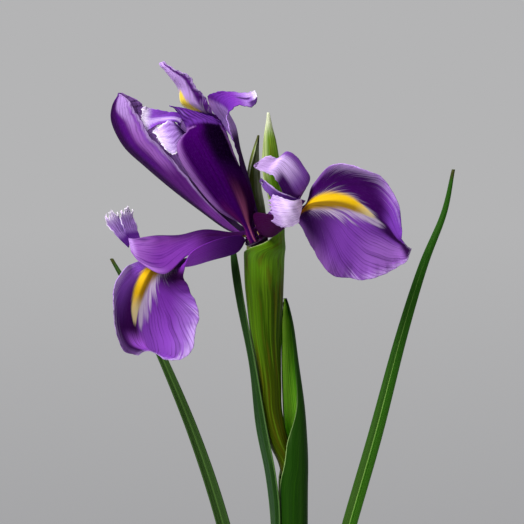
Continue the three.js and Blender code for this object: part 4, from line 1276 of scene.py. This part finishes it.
# The studio: a pale round floor, grey paper far behind, a large soft light high on the left in
# front, a weak fill on the right, and the camera level with the flower.
VIEW_WIDTH = 0.1913
VIEW_CENTRE = (-0.0082, 0, 0.2743)
CAMERA_DISTANCE = 3
FLOOR_RADIUS = 0.8
FLOOR_GAP = 0.0002


def soft_light(name, place, aim, size, power):
    light = bpy.data.lights.new(name, "AREA")
    light.shape = "DISK"
    light.size = size
    light.energy = power
    lamp = placed(name, light)
    lamp.location = place
    lamp.rotation_euler = (Vector(aim) - Vector(place)).to_track_quat("-Z", "Y").to_euler()


bm = bmesh.new()
bmesh.ops.create_circle(bm, cap_ends=True, segments=96, radius=FLOOR_RADIUS)
floor_mesh = meshed("floor", bm)
floor = placed("floor", floor_mesh)
floor.location.z = cad_box[0][2] - FLOOR_GAP
floor_paint = Finish("pale floor", 0.8)
floor_paint.colour(floor_paint.tint(floor_paint.noise(floor_paint.place(), 6, 2), "cfcfd0", "d6d6d6"))
floor_mesh.materials.append(floor_paint.material)
floor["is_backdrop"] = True

soft_light("key", (-0.75, -0.9, 1.05), (0, 0, 0.28), 0.7, 28)
soft_light("top", (-0.1, 0.25, 1.15), (0, 0, 0.28), 0.5, 8)
soft_light("fill", (1.1, -0.8, 0.45), (0, 0, 0.26), 0.9, 3)

world = bpy.data.worlds.new("studio")
bpy.context.scene.world = world
world.use_nodes = True
sky = Wiring(world.node_tree)
surroundings = sky.tree.nodes["Background"]
surroundings.inputs["Color"].default_value = (1, 1, 1, 1)
surroundings.inputs["Strength"].default_value = 0.2
upward = sky.height(sky.add("ShaderNodeTexCoord").outputs["Generated"])
fade = sky.add("ShaderNodeMapRange", upward, -0.04, 0.004)
paper = sky.add("ShaderNodeBackground", sky.tint(fade.outputs[0], "a2a2a4", "b4b4b5"))
seen = sky.add("ShaderNodeLightPath").outputs["Is Camera Ray"]
choice = sky.add("ShaderNodeMixShader", seen, surroundings.outputs[0], paper.outputs[0])
sky.feed(sky.tree.nodes["World Output"].inputs[0], choice.outputs[0])

lens = bpy.data.cameras.new("camera")
lens.angle = 2 * np.arctan(VIEW_WIDTH / 2 / CAMERA_DISTANCE)
camera = placed("camera", lens)
camera.location = Vector(VIEW_CENTRE) - Vector((0, CAMERA_DISTANCE, 0))
camera.rotation_euler = (pi / 2, 0, 0)
bpy.context.scene.camera = camera
bpy.context.scene.view_settings.view_transform = "Standard"

boxes = {"cad": cad_box, "visual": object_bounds()}
{key: [list(map(float, corner)) for corner in box] for key, box in boxes.items()}
